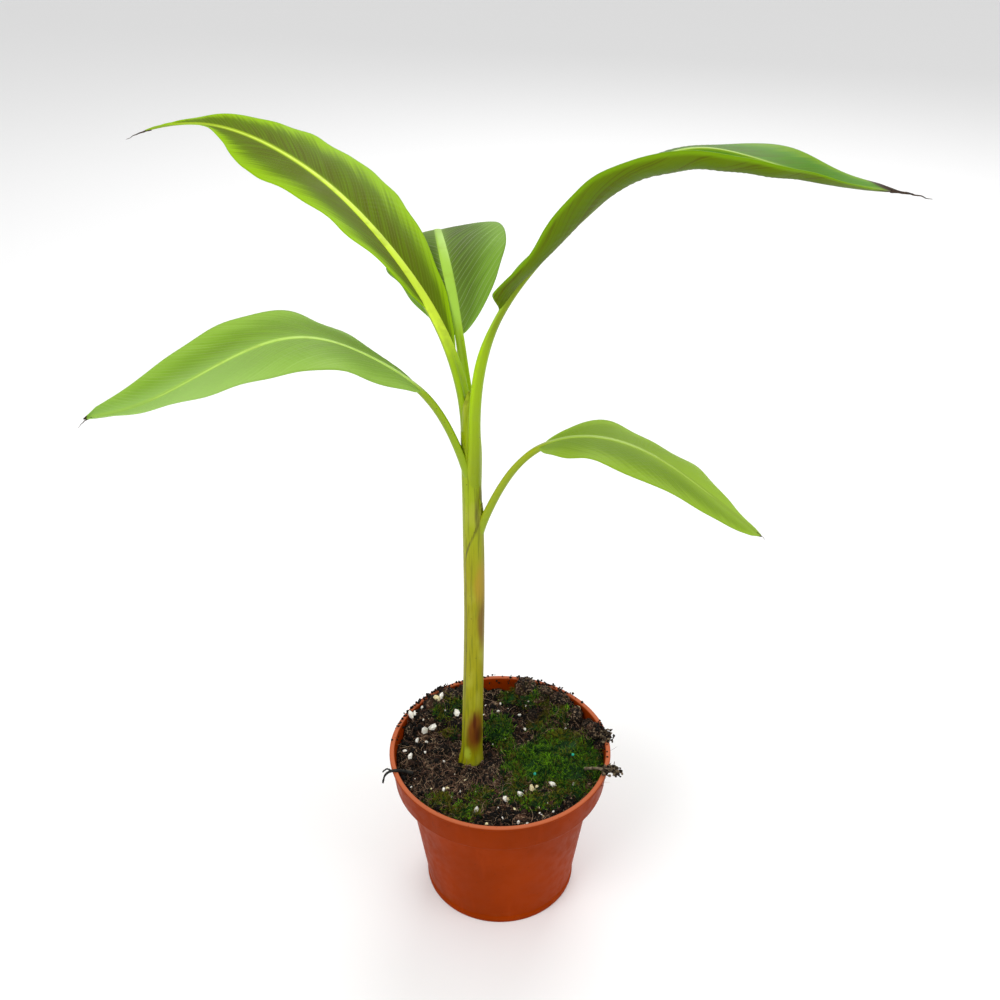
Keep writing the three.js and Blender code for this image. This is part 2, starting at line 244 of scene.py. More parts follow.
def build(name, points, quads=None, triangles=None, finishes=(), kinds=None, maps=None, smooth=True):
    """One object from whole arrays. kinds: the material number of each face, quads first. maps: UV maps by
    name, with a value for each point."""
    mesh = bpy.data.meshes.new(name)
    faces = [rows for rows in (quads, triangles) if rows is not None and len(rows)]
    corners = np.concatenate([rows.ravel() for rows in faces]).astype(np.int32)
    sizes = np.concatenate([np.full(len(rows), rows.shape[1]) for rows in faces])
    mesh.vertices.add(len(points))
    mesh.vertices.foreach_set("co", np.ascontiguousarray(points, np.float32).ravel())
    mesh.loops.add(len(corners))
    mesh.loops.foreach_set("vertex_index", corners)
    mesh.polygons.add(len(sizes))
    mesh.polygons.foreach_set("loop_start", np.concatenate([[0], np.cumsum(sizes)[:-1]]).astype(np.int32))
    mesh.polygons.foreach_set("use_smooth", np.full(len(sizes), smooth))
    for material in finishes:
        mesh.materials.append(material)
    if kinds is not None:
        mesh.polygons.foreach_set("material_index", kinds.astype(np.int32))
    for label, values in (maps or {}).items():
        layer = mesh.uv_layers.new(name=label)
        layer.uv.foreach_set("vector", values[corners].astype(np.float32).ravel())
    mesh.update(calc_edges=True)
    piece = bpy.data.objects.new(name, mesh)
    bpy.context.scene.collection.objects.link(piece)
    return piece


def seat(piece, slot, *nodes):
    """The piece rides with the plant and stands for those nodes. slot is not used."""
    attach(piece, "root")
    if nodes:
        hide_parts(*nodes)


def repeated(faces, count, size):
    """The faces of a shape of size points, numbered on for count copies of it."""
    return (faces[None] + (np.arange(count) * size)[:, None, None]).reshape(-1, faces.shape[1])


def strew(shape, faces, places, sizes, rotations):
    """One small shape repeated at many places, each copy turned and sized: points and faces, all joined."""
    copies = np.einsum("nij,pj->npi", rotations, shape) * sizes[:, None, None] + places[:, None]
    return copies.reshape(-1, 3), repeated(faces, len(places), len(shape))


def joined(parts):
    """Several (points, quads, triangles) as one."""
    starts = np.cumsum([0] + [len(part[0]) for part in parts[:-1]])
    points, *faces = zip(*parts)
    return (np.concatenate(points),
            *(np.concatenate([rows + start for rows, start in zip(kind, starts)]) for kind in faces))


def sections(line, angles, guide):
    """Unit circles across a line, or across many lines at once: the sum of side cos a and up sin a, where
    side is square to the line and to the guide, and up to the line and to side."""
    ahead = unit(np.gradient(line, axis=-2))
    side = unit(np.cross(ahead, guide))
    up = np.cross(side, ahead)
    return side[..., None, :] * np.cos(angles)[:, None] + up[..., None, :] * np.sin(angles)[:, None]


def tubes(line, radii, guide):
    """Closed three-sided tubes along many lines (tubes, rows, 3), with a triangle over each end."""
    rings = line[:, :, None] + sections(line, circle(3), guide) * radii
    count, rows, sides = rings.shape[:3]
    size = rows * sides
    quads = lattice(rows, sides, wrap=True)[:, ::-1]
    ends = np.array([(0, 1, 2), (size - 1, size - 2, size - 3)])
    return rings.reshape(-1, 3), repeated(quads, count, size), repeated(ends, count, size)


def round_tube(line, radii, columns=10, seed=0, roughness=0.0):
    """A closed tube of round section along a line, whose radius wanders by roughness."""
    ring = sections(line, -circle(columns), (0.03, 0.05, 1))
    wander = 1 + roughness * drift(line[:, None] + ring * 2 * MM, 2.5 * MM, seed)
    return capped(line[:, None] + ring * (radii[:, None] * wander)[..., None])


def crumb(draw, roughness):
    """A rough lump of twenty faces: the corners of an icosahedron, each moved in or out at random."""
    golden = (1 + math.sqrt(5)) / 2
    corners = np.array([(-1, golden, 0), (1, golden, 0), (-1, -golden, 0), (1, -golden, 0),
                        (0, -1, golden), (0, 1, golden), (0, -1, -golden), (0, 1, -golden),
                        (golden, 0, -1), (golden, 0, 1), (-golden, 0, -1), (-golden, 0, 1)], float)
    faces = np.array([(0, 11, 5), (0, 5, 1), (0, 1, 7), (0, 7, 10), (0, 10, 11), (1, 5, 9), (5, 11, 4),
                      (11, 10, 2), (10, 7, 6), (7, 1, 8), (3, 9, 4), (3, 4, 2), (3, 2, 6), (3, 6, 8),
                      (3, 8, 9), (4, 9, 5), (2, 4, 11), (6, 2, 10), (8, 6, 7), (9, 8, 1)])
    return unit(corners) * draw.uniform(1 - roughness, 1 + roughness, (12, 1)), faces


def lumps(name, shape, places, sizes, rotations, kinds, finishes, smooth=False):
    """One piece of many copies of a small shape, each with its own place, size, turn and kind of finish."""
    points, triangles = strew(*shape, places, sizes, rotations)
    return build(name, points, None, triangles, finishes, np.repeat(kinds, len(shape[1])), smooth=smooth)


# ---- materials ----
class Finish:
    """A new material with one Principled shader, and short calls for the nodes that feed it. colour is what
    the shader is to show: it starts as one tone, and each coat lays another over it."""

    def __init__(self, name, roughness=0.5, specular=0.5, colour=(0.8, 0.8, 0.8), subsurface=0.0):
        self.material = bpy.data.materials.new(name)
        self.material.use_nodes = True
        self.tree = self.material.node_tree
        self.shader = self.tree.nodes["Principled BSDF"]
        self.output = self.tree.nodes["Material Output"]
        self.colour = tuple(colour)
        self.set("Base Color", self.colour)
        self.set("Roughness", roughness)
        self.set("Specular IOR Level", specular)
        if subsurface:
            self.set("Subsurface Weight", subsurface)
            self.set("Subsurface Radius", (3 * MM, 3 * MM, 1 * MM))
            self.set("Subsurface Scale", 1.0)

    def set(self, label, value):
        """Sets a socket of the shader, or links to it."""
        self.feed(self.shader.inputs[label], value)

    def feed(self, socket, value):
        if isinstance(value, bpy.types.NodeSocket):
            self.tree.links.new(value, socket)
        elif isinstance(value, tuple) and len(value) == 3 and socket.type == "RGBA":
            socket.default_value = (*value, 1)
        else:
            socket.default_value = value

    def node(self, kind, inputs=(), **settings):
        made = self.tree.nodes.new("ShaderNode" + kind)
        for label, value in settings.items():
            setattr(made, label, value)
        for label, value in dict(inputs).items():
            self.feed(made.inputs[label], value)
        return made

    def place(self, stretch=(1, 1, 1)):
        """Object coordinates, multiplied by stretch: a small number draws a noise out along that axis."""
        coordinates = self.node("TexCoord").outputs["Object"]
        return self.node("Mapping", {"Vector": coordinates, "Scale": stretch}).outputs["Vector"]

    def height(self):
        return self.node("SeparateXYZ", {"Vector": self.place()}).outputs["Z"]

    def parts(self, label):
        """The two numbers of a UV map."""
        split = self.node("SeparateXYZ", {"Vector": self.node("UVMap", uv_map=label).outputs["UV"]})
        return split.outputs["X"], split.outputs["Y"]

    def noise(self, vector, scale, detail=3.0, distortion=0.0):
        inputs = {"Vector": vector, "Scale": scale, "Detail": detail, "Distortion": distortion}
        return self.node("TexNoise", inputs).outputs["Fac"]

    def maths(self, operation, a, b=0.0):
        return self.node("Math", {0: a, 1: b}, operation=operation).outputs[0]

    def plus(self, a, b):
        return self.maths("ADD", a, b)

    def times(self, *factors):
        product = factors[0]
        for factor in factors[1:]:
            product = self.maths("MULTIPLY", product, factor)
        return product

    def span(self, value, low, high, start=0.0, end=1.0):
        """value from low to high, carried smoothly to start to end, and held beyond."""
        inputs = {"Value": value, "From Min": low, "From Max": high, "To Min": start, "To Max": end}
        return self.node("MapRange", inputs, interpolation_type="SMOOTHSTEP").outputs["Result"]

    def mix(self, share, a, b, blend="MIX"):
        made = self.node("Mix", data_type="RGBA", blend_type=blend)
        for socket, value in zip((made.inputs[0], made.inputs[6], made.inputs[7]), (share, a, b)):
            self.feed(socket, value)
        return made.outputs[2]

    def coat(self, share, colour):
        """Lays a colour over the rest, by that share."""
        self.colour = self.mix(share, self.colour, tuple(colour))

    def mottle(self, colour, strength, low, high, scale, detail=3.0, stretch=(1, 1, 1), distortion=0.0):
        """Lays a colour over the places where a noise is above low, by strength where it is above high."""
        noise = self.noise(self.place(stretch), scale, detail, distortion)
        self.coat(self.span(noise, low, high, 0, strength), colour)

    def bump(self, height, depth, strength=1.0, under=None):
        inputs = {"Height": height, "Distance": depth, "Strength": strength}
        if under is not None:
            inputs["Normal"] = under
        return self.node("Bump", inputs).outputs["Normal"]

    def sealed(self, relief, roughness=None):
        """The material, once the colour, the relief and an uneven roughness are joined to its shader."""
        self.set("Base Color", self.colour)
        self.set("Normal", relief)
        if roughness is not None:
            self.set("Roughness", roughness)
        return self.material


# ---- pot ----
class PotSettings(PropertyGroup):
    collar_height: FloatProperty(name="Collar height", description="The wider band under the rim",
                                 default=18 * MM, unit="LENGTH")
    collar_foot: FloatProperty(name="Collar foot radius", description="Radius where the collar starts",
                               default=57.4 * MM, unit="LENGTH")
    body_top: FloatProperty(name="Body top radius", description="Radius of the body under the collar",
                            default=51.2 * MM, unit="LENGTH")
    base: FloatProperty(name="Base radius", description="Radius at the pot's foot",
                        default=41.8 * MM, unit="LENGTH")
    wall: FloatProperty(name="Wall", description="Wall thickness", default=1.6 * MM, unit="LENGTH")
    colour: FloatVectorProperty(name="Colour", description="The plastic", size=3, subtype="COLOR",
                                default=tone(146, 50, 0))


def rounded(corners, radius, steps=4):
    """An outline with its corners rounded: each becomes the quadratic curve that leaves its two sides at
    radius from the corner, or at 0.4 of the side where that is shorter."""
    corners = np.array(corners, float)
    points = [corners[:1]]
    share = np.linspace(0, 1, steps)[:, None]
    for before, at, after in zip(corners[:-2], corners[1:-1], corners[2:]):
        reach = [min(radius, 0.4 * np.linalg.norm(other - at)) for other in (before, after)]
        start = at + unit(before - at) * reach[0]
        end = at + unit(after - at) * reach[1]
        points.append((1 - share) ** 2 * start + 2 * share * (1 - share) * at + share**2 * end)
    return np.concatenate([*points, corners[-1:]])


def pot_outline(pot):
    """Half the pot's section: from the axis out under the floor to the foot, up the wall to the collar and
    the rim, then down inside the wall and back to the axis on the floor. Corners are rounded afterwards."""
    rim, height = POT_HIGH[0], POT_HIGH[2]
    foot = height - pot.collar_height
    step = foot + pot.wall
    hub, ring = 13 * MM, 37.3 * MM  # radii of the disc and of the ring's inner edge on which the pot stands
    recess, floor = 2 * MM, 3.6 * MM  # how high the underside is recessed, and the floor
    ridge, chamfer = 3.6 * MM, 0.6 * MM  # height of the thin ridge round the foot, and the small bevels
    inner = pot.body_top - pot.wall
    return rounded([
        (0, 0), (hub, 0), (hub + 1 * MM, recess), (ring - 0.8 * MM, recess), (ring, 0),
        (pot.base - chamfer, 0), (pot.base, chamfer), (pot.base, ridge),
        (pot.base - 0.5 * MM, ridge + chamfer),
        (pot.body_top, foot), (pot.collar_foot, foot),
        (rim - 1 * MM, height - 2 * MM), (rim, height - 1.6 * MM), (rim, height - 0.5 * MM),
        (rim - chamfer, height), (rim - 2.2 * MM, height), (rim - 2.7 * MM, height - chamfer),
        (pot.collar_foot - pot.wall, step), (inner + 1 * MM, step), (inner, step - 1.2 * MM),
        (pot.base - pot.wall - 0.4 * MM, floor), (0, floor),
    ], 1.2 * MM)


def turned(outline, segments):
    """The outline turned about the Z axis: each point but the two on the axis becomes a ring."""
    radii, heights = outline[1:-1].T
    points, quads, fans = capped(polar(radii[:, None], circle(segments), heights[:, None]))
    points[-2:, 2] = outline[[0, -1], 1]
    return points, quads, fans


def pot_finish(pot):
    """The plastic: clouded, with pale streaks down the wall, painted shade darkening the collar, a painted
    highlight along the rim, dusty scuffs at the foot, and dark specks."""
    plastic = tuple(pot.colour)
    finish = Finish("terracotta_plastic", 0.42, 0.02, colour=(c * 0.82 for c in plastic))
    place, height = finish.place(), finish.height()
    finish.mottle(plastic, 1, 0.35, 0.7, 26, 4)
    streak = finish.noise(finish.place((60, 60, 6)), 3)
    finish.coat(finish.span(streak, 0.56, 0.8, 0, 0.35), (min(1, plastic[0] * 1.2), plastic[1] * 1.3, 0.004))
    collar, rim = POT_HIGH[2] - pot.collar_height, POT_HIGH[2]
    # The whole collar, from its foot up, darkened a little: painted shade.
    finish.coat(finish.span(height, collar - 0.5 * MM, collar + 0.5 * MM, 0, 0.3), tone(112, 36, 0))
    # A pale band along the rim's top edge: a painted highlight.
    finish.coat(finish.span(height, rim - 0.8 * MM, rim, 0, 0.4), tone(232, 140, 100))
    dusty = finish.span(finish.noise(place, 120, 5), 0.5, 0.75)
    finish.coat(finish.times(dusty, finish.span(height, 0, 20 * MM, 0.2, 0)), tone(150, 92, 44))
    finish.mottle(tone(84, 34, 12), 0.6, 0.72, 0.76, 900, 1)
    grain = finish.bump(finish.noise(place, 1400, 2), 0.04 * MM, 0.5)
    scuffed = finish.span(finish.noise(place, 180, 4), 0.3, 0.7, 0.34, 0.52)
    return finish.sealed(finish.bump(streak, 0.3 * MM, 0.35, grain), scuffed)


POT_SEGMENTS = 176
DRAIN_HOLES, DRAIN_RADIUS, DRAIN_RING = 8, 4 * MM, 26 * MM  # how many, their radius, and how far out they lie


def drain_bores():
    """Upright cylinders through the pot's floor, joined: what the drain holes take away."""
    low, high = -4 * MM, 8 * MM
    outline = np.array([(0, low), (DRAIN_RADIUS, low), (DRAIN_RADIUS, high), (0, high)])
    bore = turned(outline, 32)
    places = polar(DRAIN_RING, circle(DRAIN_HOLES) + math.pi / DRAIN_HOLES, 0)
    return joined([(bore[0] + place, *bore[1:]) for place in places])


class BANANA_OT_pot(Operator):
    """The pot: a turned outline with drain holes cut through its floor."""
    bl_idname = "banana.pot"
    bl_label = "Pot"

    def execute(self, context):
        pot = context.scene.banana_pot
        shell = build("pot_shell", *turned(pot_outline(pot), POT_SEGMENTS), [pot_finish(pot)])
        bores = build("bores", *drain_bores())
        cut = shell.modifiers.new("drain holes", "BOOLEAN")
        cut.operation, cut.object, cut.solver = "DIFFERENCE", bores, "EXACT"
        graph = context.evaluated_depsgraph_get()
        shell.data = bpy.data.meshes.new_from_object(shell.evaluated_get(graph))
        shell.modifiers.clear()
        bpy.data.objects.remove(bores)
        shell.data.set_sharp_from_angle(angle=math.radians(50))
        seat(shell, "pot", "pot")
        return {"FINISHED"}


# ---- soil ----
class SoilSettings(PropertyGroup):
    crumbs: IntProperty(name="Crumbs", description="Loose lumps of potting mix on the surface", default=6400)
    fibres: IntProperty(name="Fibres", description="Dry curly fibres in the mix", default=2300)
    perlite: IntProperty(name="Perlite", description="Scattered white grains, besides the large ones",
                         default=95)
    relief: FloatProperty(name="Relief", description="Height of the surface's unevenness",
                          default=2.1 * MM, unit="LENGTH")
    dark: FloatVectorProperty(name="Dark", description="Moist mix", size=3, subtype="COLOR",
                              default=tone(17, 11, 6))
    brown: FloatVectorProperty(name="Brown", description="Drier mix", size=3, subtype="COLOR",
                               default=tone(68, 44, 30))
    fibre: FloatVectorProperty(name="Fibre", description="Dry fibres", size=3, subtype="COLOR",
                               default=tone(196, 166, 134))


# Heaps on the soil, mm: centre x and y, reach and height.
HEAPS = ((-33, 37, 16, 9), (15, 45, 12, 9), (-30, -30, 14, 2.5), (27, 40, 16, 6), (52, 16, 11, 6.5),
         (-8, -24, 17, 3.5), (-4, 36, 12, 2), (44, -20, 14, 3), (-46, 26, 14, 7), (-18, 50, 12, 8),
         (40, 36, 14, 6), (-52, 4, 10, 3))
SOIL_RADIUS = 57 * MM
# The soil's side from the floor up, mm: radius and height. It follows the inside of the pot.
SOIL_SIDE = ((40, 3.9), (49.2, 75), (55.4, 76))


def ground(x, y):
    """Height of the soil: its level, plus a rounded heap (1 - d^2)^2 at each place in HEAPS."""
    z = np.full(np.shape(x), SOIL_LEVEL)
    for heap_x, heap_y, reach, height in HEAPS:
        d2 = ((x - heap_x * MM) ** 2 + (y - heap_y * MM) ** 2) / (reach * MM) ** 2
        z = z + height * MM * np.clip(1 - d2, 0, 1) ** 2
    return z


def on_ground(x, y, rise=0.0):
    """The places x, y as points that height above the soil."""
    return np.stack(np.broadcast_arrays(x, y, ground(x, y) + rise), axis=-1)


def soil_surface(relief):
    """A closed body: a disc of rings whose height is ground() plus noise of three sizes, then the side that
    lines the pot, then the flat bottom just above the floor."""
    around = circle(240)
    radii = np.array([56.4 * MM, *np.linspace(0.4 * MM, SOIL_RADIUS - 1.5 * MM, 96)[::-1]])
    flat = polar(radii[:, None], around, 0)[..., :2]
    rough = drift(flat, 11 * MM, 11) * 0.8 + drift(flat, 5 * MM, 12) * 0.5 + drift(flat, 2.2 * MM, 13) * 0.3
    top = on_ground(flat[..., 0], flat[..., 1], relief * rough - 0.6 * MM)
    side = [polar(radius * MM, around, height * MM) for radius, height in SOIL_SIDE]
    return capped(np.concatenate([np.array(side), top]))


def strewn_spots(count, draw, reach=0.975):
    """Random places on the soil inside the pot, as points on the ground."""
    radius = SOIL_RADIUS * reach * np.sqrt(draw.uniform(0, 1, count))
    angle = draw.uniform(0, 2 * math.pi, count)
    return on_ground(radius * np.cos(angle), radius * np.sin(angle))


def near(spots, x, y, reach):
    """How near each spot is to a place, from 1 there to 0 at reach."""
    away = np.hypot(spots[:, 0] - x * MM, spots[:, 1] - y * MM) / (reach * MM)
    return np.clip(1 - away, 0, 1)


def plain(name, colour, roughness=0.9, other=None, scale=400):
    """A matt finish whose colour wanders between two tones, with a rough bump."""
    finish = Finish(name, roughness, 0.25, colour=other or (c * 0.55 for c in colour))
    finish.mottle(colour, 1, 0.35, 0.65, scale, 4)
    return finish.sealed(finish.bump(finish.noise(finish.place(), scale * 3), 0.2 * MM))


def plains(prefix, shades, roughness=0.9, scale=400):
    """A plain finish for each named shade."""
    return [plain(f"{prefix}_{name}", tuple(shade), roughness, scale=scale) for name, shade in shades.items()]


def soil_finish(soil):
    """Moist mix with drier patches, fine pale fibres, and damp dark places."""
    finish = Finish("potting_mix", 0.93, 0.2, colour=soil.dark)
    finish.mottle(soil.brown, 1, 0.42, 0.68, 130, 6, distortion=0.6)
    finish.mottle(soil.fibre, 0.5, 0.5, 0.7, 900, 4)
    finish.mottle((c * 0.3 for c in soil.dark), 0.6, 0.5, 0.65, 45, 2)
    return finish.sealed(finish.bump(finish.noise(finish.place(), 700, 6), 0.6 * MM))


class BANANA_OT_soil(Operator):
    """The soil: one uneven closed body that fills the pot."""
    bl_idname = "banana.soil"
    bl_label = "Soil"

    def execute(self, context):
        soil = context.scene.banana_soil
        piece = build("soil_bed", *soil_surface(soil.relief), [soil_finish(soil)])
        seat(piece, "soil", "soil")
        return {"FINISHED"}


def fibre_strands(starts, lengths, draw, lean=0.35, width=0.19 * MM, steps=6):
    """Thin triangular strands: each centre line sets out at random near the ground and turns by a steady
    random amount at each step, so that it curls; the width tapers to a third at the tip."""
    count = len(starts)
    heading = draw.uniform(0, 2 * math.pi, count)
    rise = draw.normal(lean * 0.5, lean, count)
    bend, lift = draw.normal(0, 0.55, (2, count))
    points = [starts]
    for _ in range(steps - 1):
        ahead = polar(np.cos(rise), heading, np.sin(rise))
        points.append(points[-1] + ahead * (lengths / (steps - 1))[:, None])
        heading, rise = heading + bend, rise + lift * 0.5 - 0.12
    line = np.stack(points, axis=1)
    line[..., 2] = np.maximum(line[..., 2], ground(line[..., 0], line[..., 1]) - 0.2 * MM)
    taper = np.linspace(1, 0.35, steps)[None, :, None, None]
    return tubes(line, taper * width / 2 * draw.uniform(0.6, 1.6, (count, 1, 1, 1)), (0.02, 0.03, 1))


def crumb_finishes(soil):
    """Four tones of mix, darkest first."""
    dark, brown = np.array(soil.dark), np.array(soil.brown)
    shades = {"black": dark * 0.45, "dark": dark, "brown": brown * 0.6, "tan": brown * 1.15}
    return plains("crumb", shades, 0.95, 900)


def clear_of_stem(spots, gap=1.5 * MM):
    """Which spots lie outside the stem's foot."""
    foot = (STEM_LOW[:2] + STEM_HIGH[:2]) / 2
    return np.hypot(spots[:, 0] - foot[0], spots[:, 1] - foot[1]) > STEM_HIGH[1] + gap


# Large lumps on the bed, mm: x, y, how far each rises over the ground, radius.
CLODS = ((15, 47, 1, 6), (24, 44, 0, 6.5), (33, 38, 0.5, 5.5), (42, 30, 0, 5), (-30, 43, 0, 6),
         (-38, 36, -1, 5.5), (-44, 26, 0, 4), (-21, 47, -1, 5), (-8, -15, 0, 4.6), (-3, -22, -0.5, 5.2),
         (-14, -18, -1, 4.5), (4, -14, -1, 4), (52, 14, 1, 4.2), (50, 22, 0, 4), (55, 7, 2, 3),
         (28, 26, -0.5, 5.5), (20, 32, -1, 6), (-30, 8, -1.5, 5), (-26, -8, -2, 5), (-36, -20, -1.5, 4),
         (-20, -36, -1, 3.6), (36, -34, -1, 4))
CLOD_CRUMBS = 46  # crumbs stuck to each clod
# Swelling of a clod's surface: depth, as a share of the radius, wavelength in radii, and first seed.
CLOD_BUMPS = ((0.2, 1.6, 40), (0.13, 0.7, 90), (0.07, 0.3, 140))


def clod_places():
    """The clods' middles and radii."""
    x, y, rise, radii = np.array(CLODS).T * MM
    return on_ground(x, y, rise), radii


def clods():
    """The large lumps, joined: each a sphere by angles whose radius swells and shrinks with noise."""
    tilt = np.linspace(0.12, math.pi - 0.12, 18)[::-1, None]
    ball = polar(np.sin(tilt), circle(26), np.cos(tilt))
    made = []
    for k, (middle, radius) in enumerate(zip(*clod_places())):
        bumpy = 1 + sum(depth * drift(ball, length, seed + k) for depth, length, seed in CLOD_BUMPS)
        made.append(capped(ball * (bumpy * radius)[..., None] * (1, 1, 0.75) + middle))
    return joined(made)


class BANANA_OT_clods(Operator):
    """Large lumps of potting mix on the bed, some of them against the back of the rim."""
    bl_idname = "banana.clods"
    bl_label = "Clods"

    def execute(self, context):
        piece = build("soil_clods", *clods(), [soil_finish(context.scene.banana_soil)])
        seat(piece, "soil")
        return {"FINISHED"}


# Crumbs spilled on the rim: heading and spread, radians, and number of each spill.
SPILLS = ((0.18, 0.1, 110), (2.3, 0.28, 260), (1.15, 0.2, 150))
BARE = ((29, -5, 24), (0, 20, 10))  # where few crumbs lie, mm: x, y, reach


class BANANA_OT_crumbs(Operator):
    """Loose crumbs on the bed, on the clods and spilled on the rim."""
    bl_idname = "banana.crumbs"
    bl_label = "Crumbs"

    def execute(self, context):
        soil = context.scene.banana_soil
        draw = np.random.default_rng(21)
        spots = strewn_spots(soil.crumbs, draw)
        spots = spots[clear_of_stem(spots, 0.2 * MM)]
        thin = sum(near(spots, *at) for at in BARE)
        spots = spots[draw.uniform(0, 1, len(spots)) > thin * 0.8]
        sizes = draw.lognormal(math.log(0.6), 0.5, len(spots)).clip(0.25, 2.1) * MM
        spots[:, 2] += draw.uniform(-0.2, 0.5, len(spots)) * sizes + 0.3 * MM
        on_clods = [middle + unit(draw.normal(size=(CLOD_CRUMBS, 3)) + (0, 0, 0.6)) * radius
                    for middle, radius in zip(*clod_places())]
        angle = np.concatenate([draw.normal(*spill) for spill in SPILLS])
        radius = POT_HIGH[0] - draw.uniform(0.3, 4.5, len(angle)) * MM
        inside = np.where(radius < POT_HIGH[0] - 2.4 * MM, 2.5 * MM, 0)
        spill = polar(radius, angle, POT_HIGH[2] + draw.uniform(-0.1, 1.2, len(angle)) * MM - inside)
        extra = np.concatenate([*on_clods, spill])
        spots = np.concatenate([spots, extra])
        sizes = np.concatenate([sizes, draw.uniform(0.3, 0.95, len(extra)) * MM])
        count = len(spots)
        piece = lumps("soil_crumbs", crumb(draw, 0.32), spots, sizes,
                      turns(count, draw) * draw.uniform(0.6, 1.25, (count, 1, 3)),
                      draw.choice(4, count, p=(0.46, 0.3, 0.17, 0.07)), crumb_finishes(soil))
        seat(piece, "soil")
        return {"FINISHED"}


# Where fibres lie thickest, mm: x, y, reach.
FIBROUS = ((-4, -22, 22), (-30, -28, 26), (30, 36, 20), (48, 16, 14))
OVERGROWN = (29, -5, 26)  # the moss that leaves few fibres, mm: x, y, reach


class BANANA_OT_fibres(Operator):
    """Dry curly fibres, thickest in front of the stem, at the front left and at the back right."""
    bl_idname = "banana.fibres"
    bl_label = "Fibres"

    def execute(self, context):
        soil = context.scene.banana_soil
        draw = np.random.default_rng(31)
        spots = strewn_spots(soil.fibres * 3, draw, 0.96)
        favour = 0.25 + sum(near(spots, *at) for at in FIBROUS)
        favour -= 0.9 * (near(spots, *OVERGROWN) > 0.25)
        spots = spots[(draw.uniform(0, 1, len(spots)) < favour) & clear_of_stem(spots)][:soil.fibres]
        spots[:, 2] += 0.7 * MM
        lengths = draw.lognormal(math.log(6.0), 0.4, len(spots)).clip(2.5, 15) * MM
        points, quads, triangles = fibre_strands(spots, lengths, draw)
        tan, dark = np.array(soil.fibre), np.array(soil.brown)
        finishes = plains("fibre", {"tan": tan, "pink": tan * (0.62, 0.5, 0.5), "dark": dark * 0.5})
        kind = draw.choice(3, len(spots), p=(0.3, 0.4, 0.3))
        kinds = np.concatenate([np.repeat(kind, len(quads) // len(spots)), np.repeat(kind, 2)])
        piece = build("soil_fibres", points, quads, triangles, finishes, kinds)
        seat(piece, "soil")
        return {"FINISHED"}


# The large white grains, mm: x, y, radius.
GRAINS = ((-36, 37, 2.4), (-33.5, 38.5, 1.9), (-50, 26, 2.3), (-47.5, 26.5, 1.6), (-42, 17.5, 2.1),
          (-38, 20.5, 1.9), (-24.5, 31, 1.8), (-12.5, -41, 1.9), (2.5, -33, 1.7), (10.5, -29.5, 1.9),
          (28, -22, 2), (-49, -2, 1.7), (-44, 33, 1.2), (17, -25, 1.7), (11, 33, 1.1), (45, 34, 1.2),
          (-52, 1, 1.1), (51, 20, 1.2), (-46, 12, 1.3))
PELLETS = ((39.5, -4), (18.5, -18.5))  # the coated feed pellets, mm: x, y
PELLET_RADIUS, PELLET_RISE = 1.1 * MM, 5.8 * MM  # their radius, and how high over the soil they lie in moss


class BANANA_OT_grains(Operator):
    """White perlite grains, large and small, and two coated feed pellets in the moss."""
    bl_idname = "banana.grains"
    bl_label = "Grains and pellets"

    def execute(self, context):
        soil = context.scene.banana_soil
        draw = np.random.default_rng(41)
        small = strewn_spots(soil.perlite, draw, 0.94)
        small = small[clear_of_stem(small)]
        x, y, radii = np.array(GRAINS).T * MM
        spots = np.concatenate([on_ground(x, y), small])
        sizes = np.concatenate([radii, draw.uniform(0.3, 0.95, len(small)) * MM])
        spots[:, 2] += 0.45 * sizes + 0.8 * MM
        finishes = [plain("perlite_white", tone(252, 250, 244), 0.8, tone(226, 220, 204), 700),
                    plain("perlite_cream", tone(244, 234, 190), 0.8, tone(208, 190, 140), 700)]
        seat(lumps("perlite", crumb(draw, 0.22), spots, sizes, turns(len(spots), draw) * (1, 1.25, 0.75),
                   draw.uniform(0, 1, len(spots)) < 0.3, finishes), "soil")
        spots = on_ground(*np.array(PELLETS).T * MM, PELLET_RISE)
        coat = plain("pellet_coat", tone(40, 168, 140), 0.45, tone(28, 140, 120), 500)
        count = len(PELLETS)
        pellets = lumps("feed_pellets", crumb(draw, 0.02), spots, np.full(count, PELLET_RADIUS),
                        turns(count, draw), np.zeros(count), [coat], smooth=True)
        smooth = pellets.modifiers.new("round", "SUBSURF")
        smooth.levels = smooth.render_levels = 2
        seat(pellets, "soil")
        return {"FINISHED"}


# The black root, its branch and the dry sprig, mm: knots of their lines, with heights from the rim's top.
ROOT = ((-47, -15, -5), (-53, -18, -0.5), (-57.5, -20, 1.2), (-60.5, -22, 0.6), (-62, -23.5, -4))
ROOT_BRANCH = ((-57.5, -20, 1.2), (-60, -18, 0.8), (-62.5, -18.5, -1))
SPRIG = ((45, -16, -1), (51, -18, 1.4), (56, -19.5, 1.5), (61, -20.5, 2.2))
# The sprig's arms: where each one ends, from its start, mm.
SPRIG_ARMS = ((4, 3, 2), (5, -3, -0.5), (2, -4, 2), (3, 4, -1.5), (-4, -2, 3), (1, 5, 1))
# Where lumps lie on the rim, mm, with heights from its top; and how many.
RIM_HEAPS = ((57, -19.8, 1.6), (61, -20.5, 2), (58, 6, 0.8), (58.5, 10, 0.2))
RIM_LUMPS = 190


